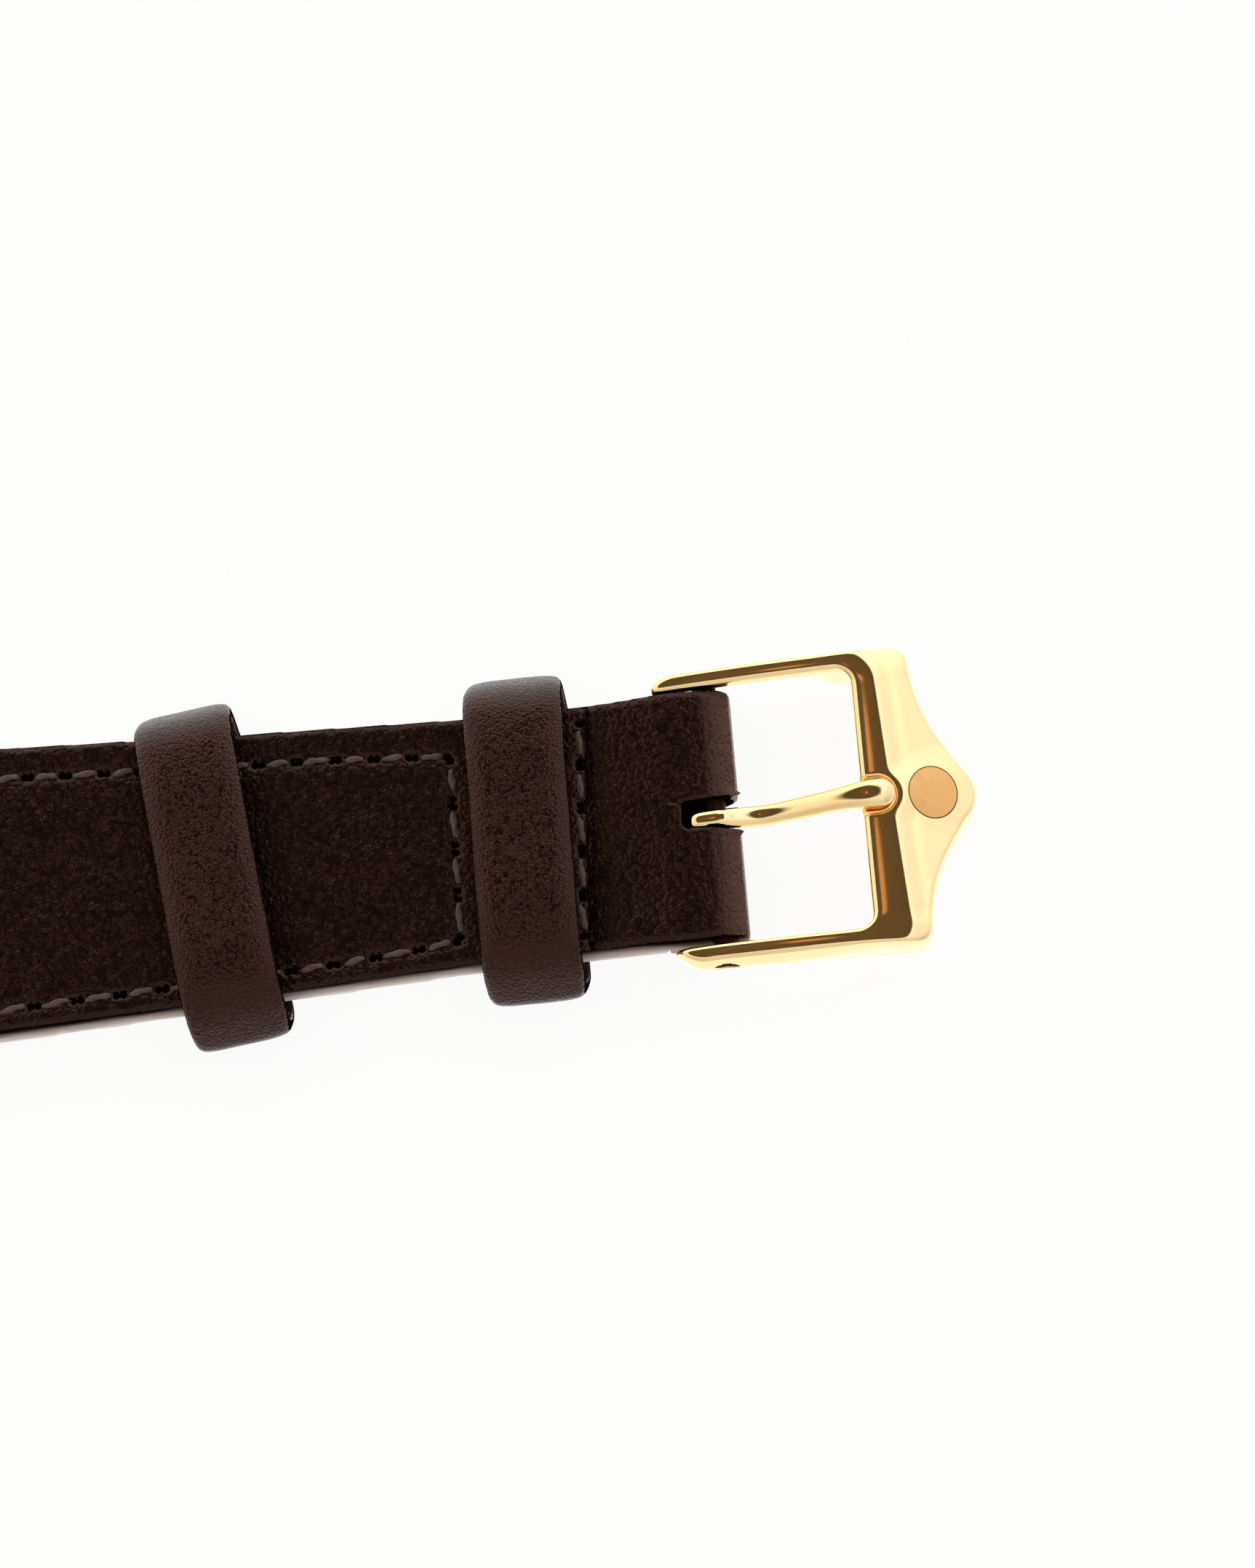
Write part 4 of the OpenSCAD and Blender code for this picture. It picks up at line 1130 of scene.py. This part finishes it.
class WATCH_OT_dial(bpy.types.Operator):
    """Dresses the dial, its markers and hands, and prints the minute track"""
    bl_idname = "watch.dial"
    bl_label = "Dial and hands"

    def execute(self, context):
        head = context.scene.watch_head
        gold = bpy.data.materials["Polished gold plate"]
        lacquer = sunray_lacquer(head.dial)
        dress("dial", lacquer)
        dress("dial_ring", satin_metal("Matt champagne ring", linear("#E7D3A4"), 0.4, 0.2, 0.004), 0.05)
        dress("hour_markers", gold, 0.09)
        dress("hour_hand", gold, 0.04)
        dress("minute_hand", gold, 0.04)
        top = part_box("dial")[1].z / MM
        points, faces = [], []
        for minute in range(60):
            turn = math.radians(6 * minute)
            half, inner, outer = MINUTE_TICK if minute % 5 else HOUR_TICK
            base = len(points)
            for z in (top - 0.02, top + 0.015):
                for x, y in ((-half, inner), (half, inner), (half, outer), (-half, outer)):
                    points.append((x * math.cos(turn) + y * math.sin(turn),
                                   y * math.cos(turn) - x * math.sin(turn), z))
            faces += [tuple(base + i for i in f) for f in (
                (3, 2, 1, 0), (4, 5, 6, 7), (0, 1, 5, 4), (1, 2, 6, 5), (2, 3, 7, 6), (3, 0, 4, 7))]
        track = solid("minute_track", points, faces)
        track.data.shade_flat()
        # Pad-printed lacquer: a slightly raised, even dark brown
        finish_piece(track, moulded("Printed lacquer", head.track, 0.45, 0.4), "head", "dial_paint")
        return {"FINISHED"}


class WATCH_OT_movement(bpy.types.Operator):
    """Dresses the movement inside the case"""
    bl_idname = "watch.movement"
    bl_label = "Movement"

    def execute(self, context):
        head = context.scene.watch_head
        steel = bpy.data.materials["Brushed stainless steel"]
        brass = satin_metal("Grained movement brass", head.brass, 0.3, 0.1, 0.004)
        for name in ("main_plate", "centre_wheel", "minute_wheel", "hour_wheel", "intermediate_wheel"):
            dress(name, brass)
        for name in ("train_bridge", "quartz_can", "battery"):
            dress(name, steel, 0.06)
        blued = polished_metal("Blued steel", linear("#3A4F86"), 0.18, 0.001)
        dress("bridge_screws", blued, 0.04)
        iron = satin_metal("Soft magnetic iron", linear("#8C8F94"), 0.38, 0.12, 0.004)
        dress("stator", iron)
        dress("coil_core", iron)
        dress("rotor", satin_metal("Samarium cobalt magnet", linear("#4C4E52"), 0.4, 0.08, 0.006))
        dress("coil", wound_wire(linear("#C9763D")))
        dress("circuit_board", moulded("Green circuit laminate", linear("#1F5A3C"), 0.4, 0.25))
        dress("ic_chip", moulded("Black epoxy resin", linear("#151517"), 0.45, 0.12))
        dress("movement_ring", moulded("White acetal", linear("#E6E4DE"), 0.42, 0.3), 0.1)
        return {"FINISHED"}


class WATCH_OT_stage(bpy.types.Operator):
    """Sets the floor, the light and the camera"""
    bl_idname = "watch.stage"
    bl_label = "Stage"

    # Where the strap's buckle end is in the picture, in pixels of a 1725 x 2156 frame
    image_size = (1725, 2156)
    strap_end = (0.0, 97.0, 2.7)
    strap_end_pixel = (1017.5, 1122.5)
    pixels_per_mm = 21.9
    # Soft edge of the tent's dark opening, as angles from its middle
    opening_edge = (math.radians(30), math.radians(21))
    # Share of the paper that shines by itself, and how much brighter polished metal sees it
    paper_glow = 0.92
    paper_mirrored = 0.32

    def camera(self, stage):
        """A camera that leans towards the crown side and the buckle, and looks down on the strap's end."""
        back = Vector((math.tan(stage.tilt), math.tan(stage.lean), 1)).normalized()
        level = Vector((0, 1, 0))
        level = (level - back * level.dot(back)).normalized()
        upward = back.cross(level)
        c, s = math.cos(stage.roll), math.sin(stage.roll)
        right, up = c * level - s * upward, s * level + c * upward
        far = stage.distance / MM
        focal = self.pixels_per_mm * far
        across = (self.strap_end_pixel[0] - self.image_size[0] / 2) / focal
        above = (self.image_size[1] / 2 - self.strap_end_pixel[1]) / focal
        eye = Vector(self.strap_end) - far * (across * right + above * up - back)
        data = bpy.data.cameras.new("camera")
        data.sensor_width = 36
        data.lens = focal / self.image_size[1] * data.sensor_width
        data.clip_start = 0.01
        obj = bpy.data.objects.new("camera", data)
        obj.matrix_world = Matrix.Translation(eye * MM) @ Matrix((right, up, back)).transposed().to_4x4()
        bpy.context.scene.collection.objects.link(obj)
        bpy.context.scene.camera = obj
        return back

    def tent(self, stage, back):
        """A white light tent with a dark opening overhead, where the camera looks in."""
        world = bpy.data.worlds.new("light tent")
        bpy.context.scene.world = world
        world.use_nodes = True
        tree = world.node_tree
        tree.nodes.clear()
        opening = Vector((-back.x, -back.y, back.z))
        way = add(tree, "TexCoord").outputs["Generated"]
        near = add(tree, "VectorMath", {0: way, 1: opening}, operation="DOT_PRODUCT").outputs["Value"]
        away = add(tree, "Math", {0: near}, operation="ARCCOSINE")
        # Dark cloth round the opening, and the warm light that falls on the camera in it
        dark = add(tree, "MapRange", {0: away, 1: self.opening_edge[0], 2: self.opening_edge[1]},
                   interpolation_type="SMOOTHSTEP")
        lamp = opening + Vector((0.03, 0.05, 0))
        aside = add(tree, "VectorMath", {0: way, 1: lamp}, operation="SUBTRACT")
        aside = add(tree, "VectorMath", {0: aside, 1: (14.0, 25.0, 0.0)}, operation="MULTIPLY")
        aside = add(tree, "VectorMath", {0: aside}, operation="LENGTH").outputs["Value"]
        warm = add(tree, "MapRange", {0: aside, 1: 1.2, 2: 0.4}, interpolation_type="SMOOTHSTEP")
        deep = add(tree, "MapRange", {0: away, 2: math.radians(24)})
        cloth = add(tree, "Mix", {0: deep, 6: linear("#6B563D"), 7: linear("#4E4834")}, data_type="RGBA")
        inside = add(tree, "Mix", {0: warm, 6: cloth, 7: linear("#CE9565")}, data_type="RGBA")
        # The tent is brightest on the left and above the buckle, dimmer and warmer behind the watch
        way = add(tree, "SeparateXYZ", {0: way})
        share = add(tree, "MapRange", {0: way.outputs["Y"], 1: -0.5, 2: 0.3})
        white = add(tree, "Mix", {0: share, 6: (0.98, 0.92, 0.8, 1), 7: (1.12, 1.12, 1.12, 1)},
                    data_type="RGBA")
        aslant = add(tree, "MapRange", {0: way.outputs["X"], 1: -0.8, 2: 0.5, 3: 1.36, 4: 0.68})
        lower = add(tree, "MapRange", {0: way.outputs["Y"], 1: 0.42, 2: 0.7, 3: 1.04, 4: 0.82})
        level = add(tree, "Math", {0: aslant, 1: lower}, operation="MULTIPLY")
        white = add(tree, "VectorMath", {0: white, 3: level}, operation="SCALE")
        cloth = add(tree, "Mix", {0: dark, 6: white, 7: inside}, data_type="RGBA")
        lit = add(tree, "Background", {0: cloth, 1: stage.light})
        plain = add(tree, "Background", {0: (1, 1, 1, 1), 1: 1.0})
        path = add(tree, "LightPath").outputs
        seen = add(tree, "Math", {0: path["Is Camera Ray"], 1: path["Is Transmission Ray"]},
                   operation="MAXIMUM")
        both = add(tree, "MixShader", {0: seen, 1: lit, 2: plain})
        add(tree, "OutputWorld", {"Surface": both})

    def floor(self):
        """A white paper floor that keeps a soft shadow."""
        half = 2000
        corners = [(half * x, half * y, 0) for x, y in ((-1, -1), (1, -1), (1, 1), (-1, 1))]
        obj = solid("floor", corners, [(0, 1, 2, 3)])
        material, tree, place = new_material("Matt white paper")
        fibre = add(tree, "TexNoise", {"Vector": place, "Scale": 0.8, "Detail": 2.0})
        tone = add(tree, "Mix", {0: fibre, 6: linear("#FAFAFA"), 7: linear("#FFFFFF")}, data_type="RGBA")
        paper = add(tree, "BsdfDiffuse", {"Color": tone})
        path = add(tree, "LightPath").outputs
        bright = add(tree, "Math", {0: path["Is Glossy Ray"], 1: self.paper_mirrored, 2: 1.0},
                     operation="MULTIPLY_ADD")
        white = add(tree, "Emission", {"Color": (1, 1, 1, 1), "Strength": bright})
        seen = add(tree, "Math", {0: path["Is Camera Ray"], 1: path["Is Glossy Ray"]}, operation="MAXIMUM")
        seen = add(tree, "Math", {0: seen, 1: path["Is Transmission Ray"]}, operation="MAXIMUM")
        share = add(tree, "Math", {0: seen, 1: self.paper_glow}, operation="MULTIPLY")
        both = add(tree, "MixShader", {0: share, 1: paper, 2: white})
        add(tree, "OutputMaterial", {"Surface": both})
        obj.data.materials.append(material)

    def execute(self, context):
        stage = context.scene.watch_stage
        context.scene.view_settings.view_transform = "Standard"
        back = self.camera(stage)
        self.tent(stage, back)
        self.floor()
        return {"FINISHED"}


class WATCH_PT_build(bpy.types.Panel):
    """Lists the steps that build the watch"""
    bl_idname = "WATCH_PT_build"
    bl_label = "Watch"
    bl_space_type = "VIEW_3D"
    bl_region_type = "UI"
    bl_category = "Watch"

    def draw(self, context):
        for step in STEPS:
            self.layout.operator(step.bl_idname)
        for group, kind in GROUPS.items():
            for name in kind.__annotations__:
                self.layout.prop(getattr(context.scene, group), name)


STEPS = (
    WATCH_OT_buckle_strap, WATCH_OT_hole_strap, WATCH_OT_keepers, WATCH_OT_buckle,
    WATCH_OT_head, WATCH_OT_dial, WATCH_OT_movement, WATCH_OT_stage,
)
GROUPS = {
    "watch_strap": StrapLook, "watch_buckle": BuckleLook, "watch_head": HeadLook, "watch_stage": StageLook,
}


def register():
    """Adds the settings, the steps and the panel."""
    for kind in (*GROUPS.values(), *STEPS, WATCH_PT_build):
        bpy.utils.register_class(kind)
    for name, kind in GROUPS.items():
        setattr(bpy.types.Scene, name, bpy.props.PointerProperty(type=kind))


def unregister():
    """Takes the panel, the steps and the settings away."""
    for name in GROUPS:
        delattr(bpy.types.Scene, name)
    for kind in reversed((*GROUPS.values(), *STEPS, WATCH_PT_build)):
        bpy.utils.unregister_class(kind)


def main():
    register()
    bpy.ops.watch.buckle_strap()
    bpy.ops.watch.hole_strap()
    bpy.ops.watch.keepers()
    bpy.ops.watch.buckle()
    bpy.ops.watch.head()
    bpy.ops.watch.dial()
    bpy.ops.watch.movement()
    bpy.ops.watch.stage()


if __name__ == "__main__":
    main()
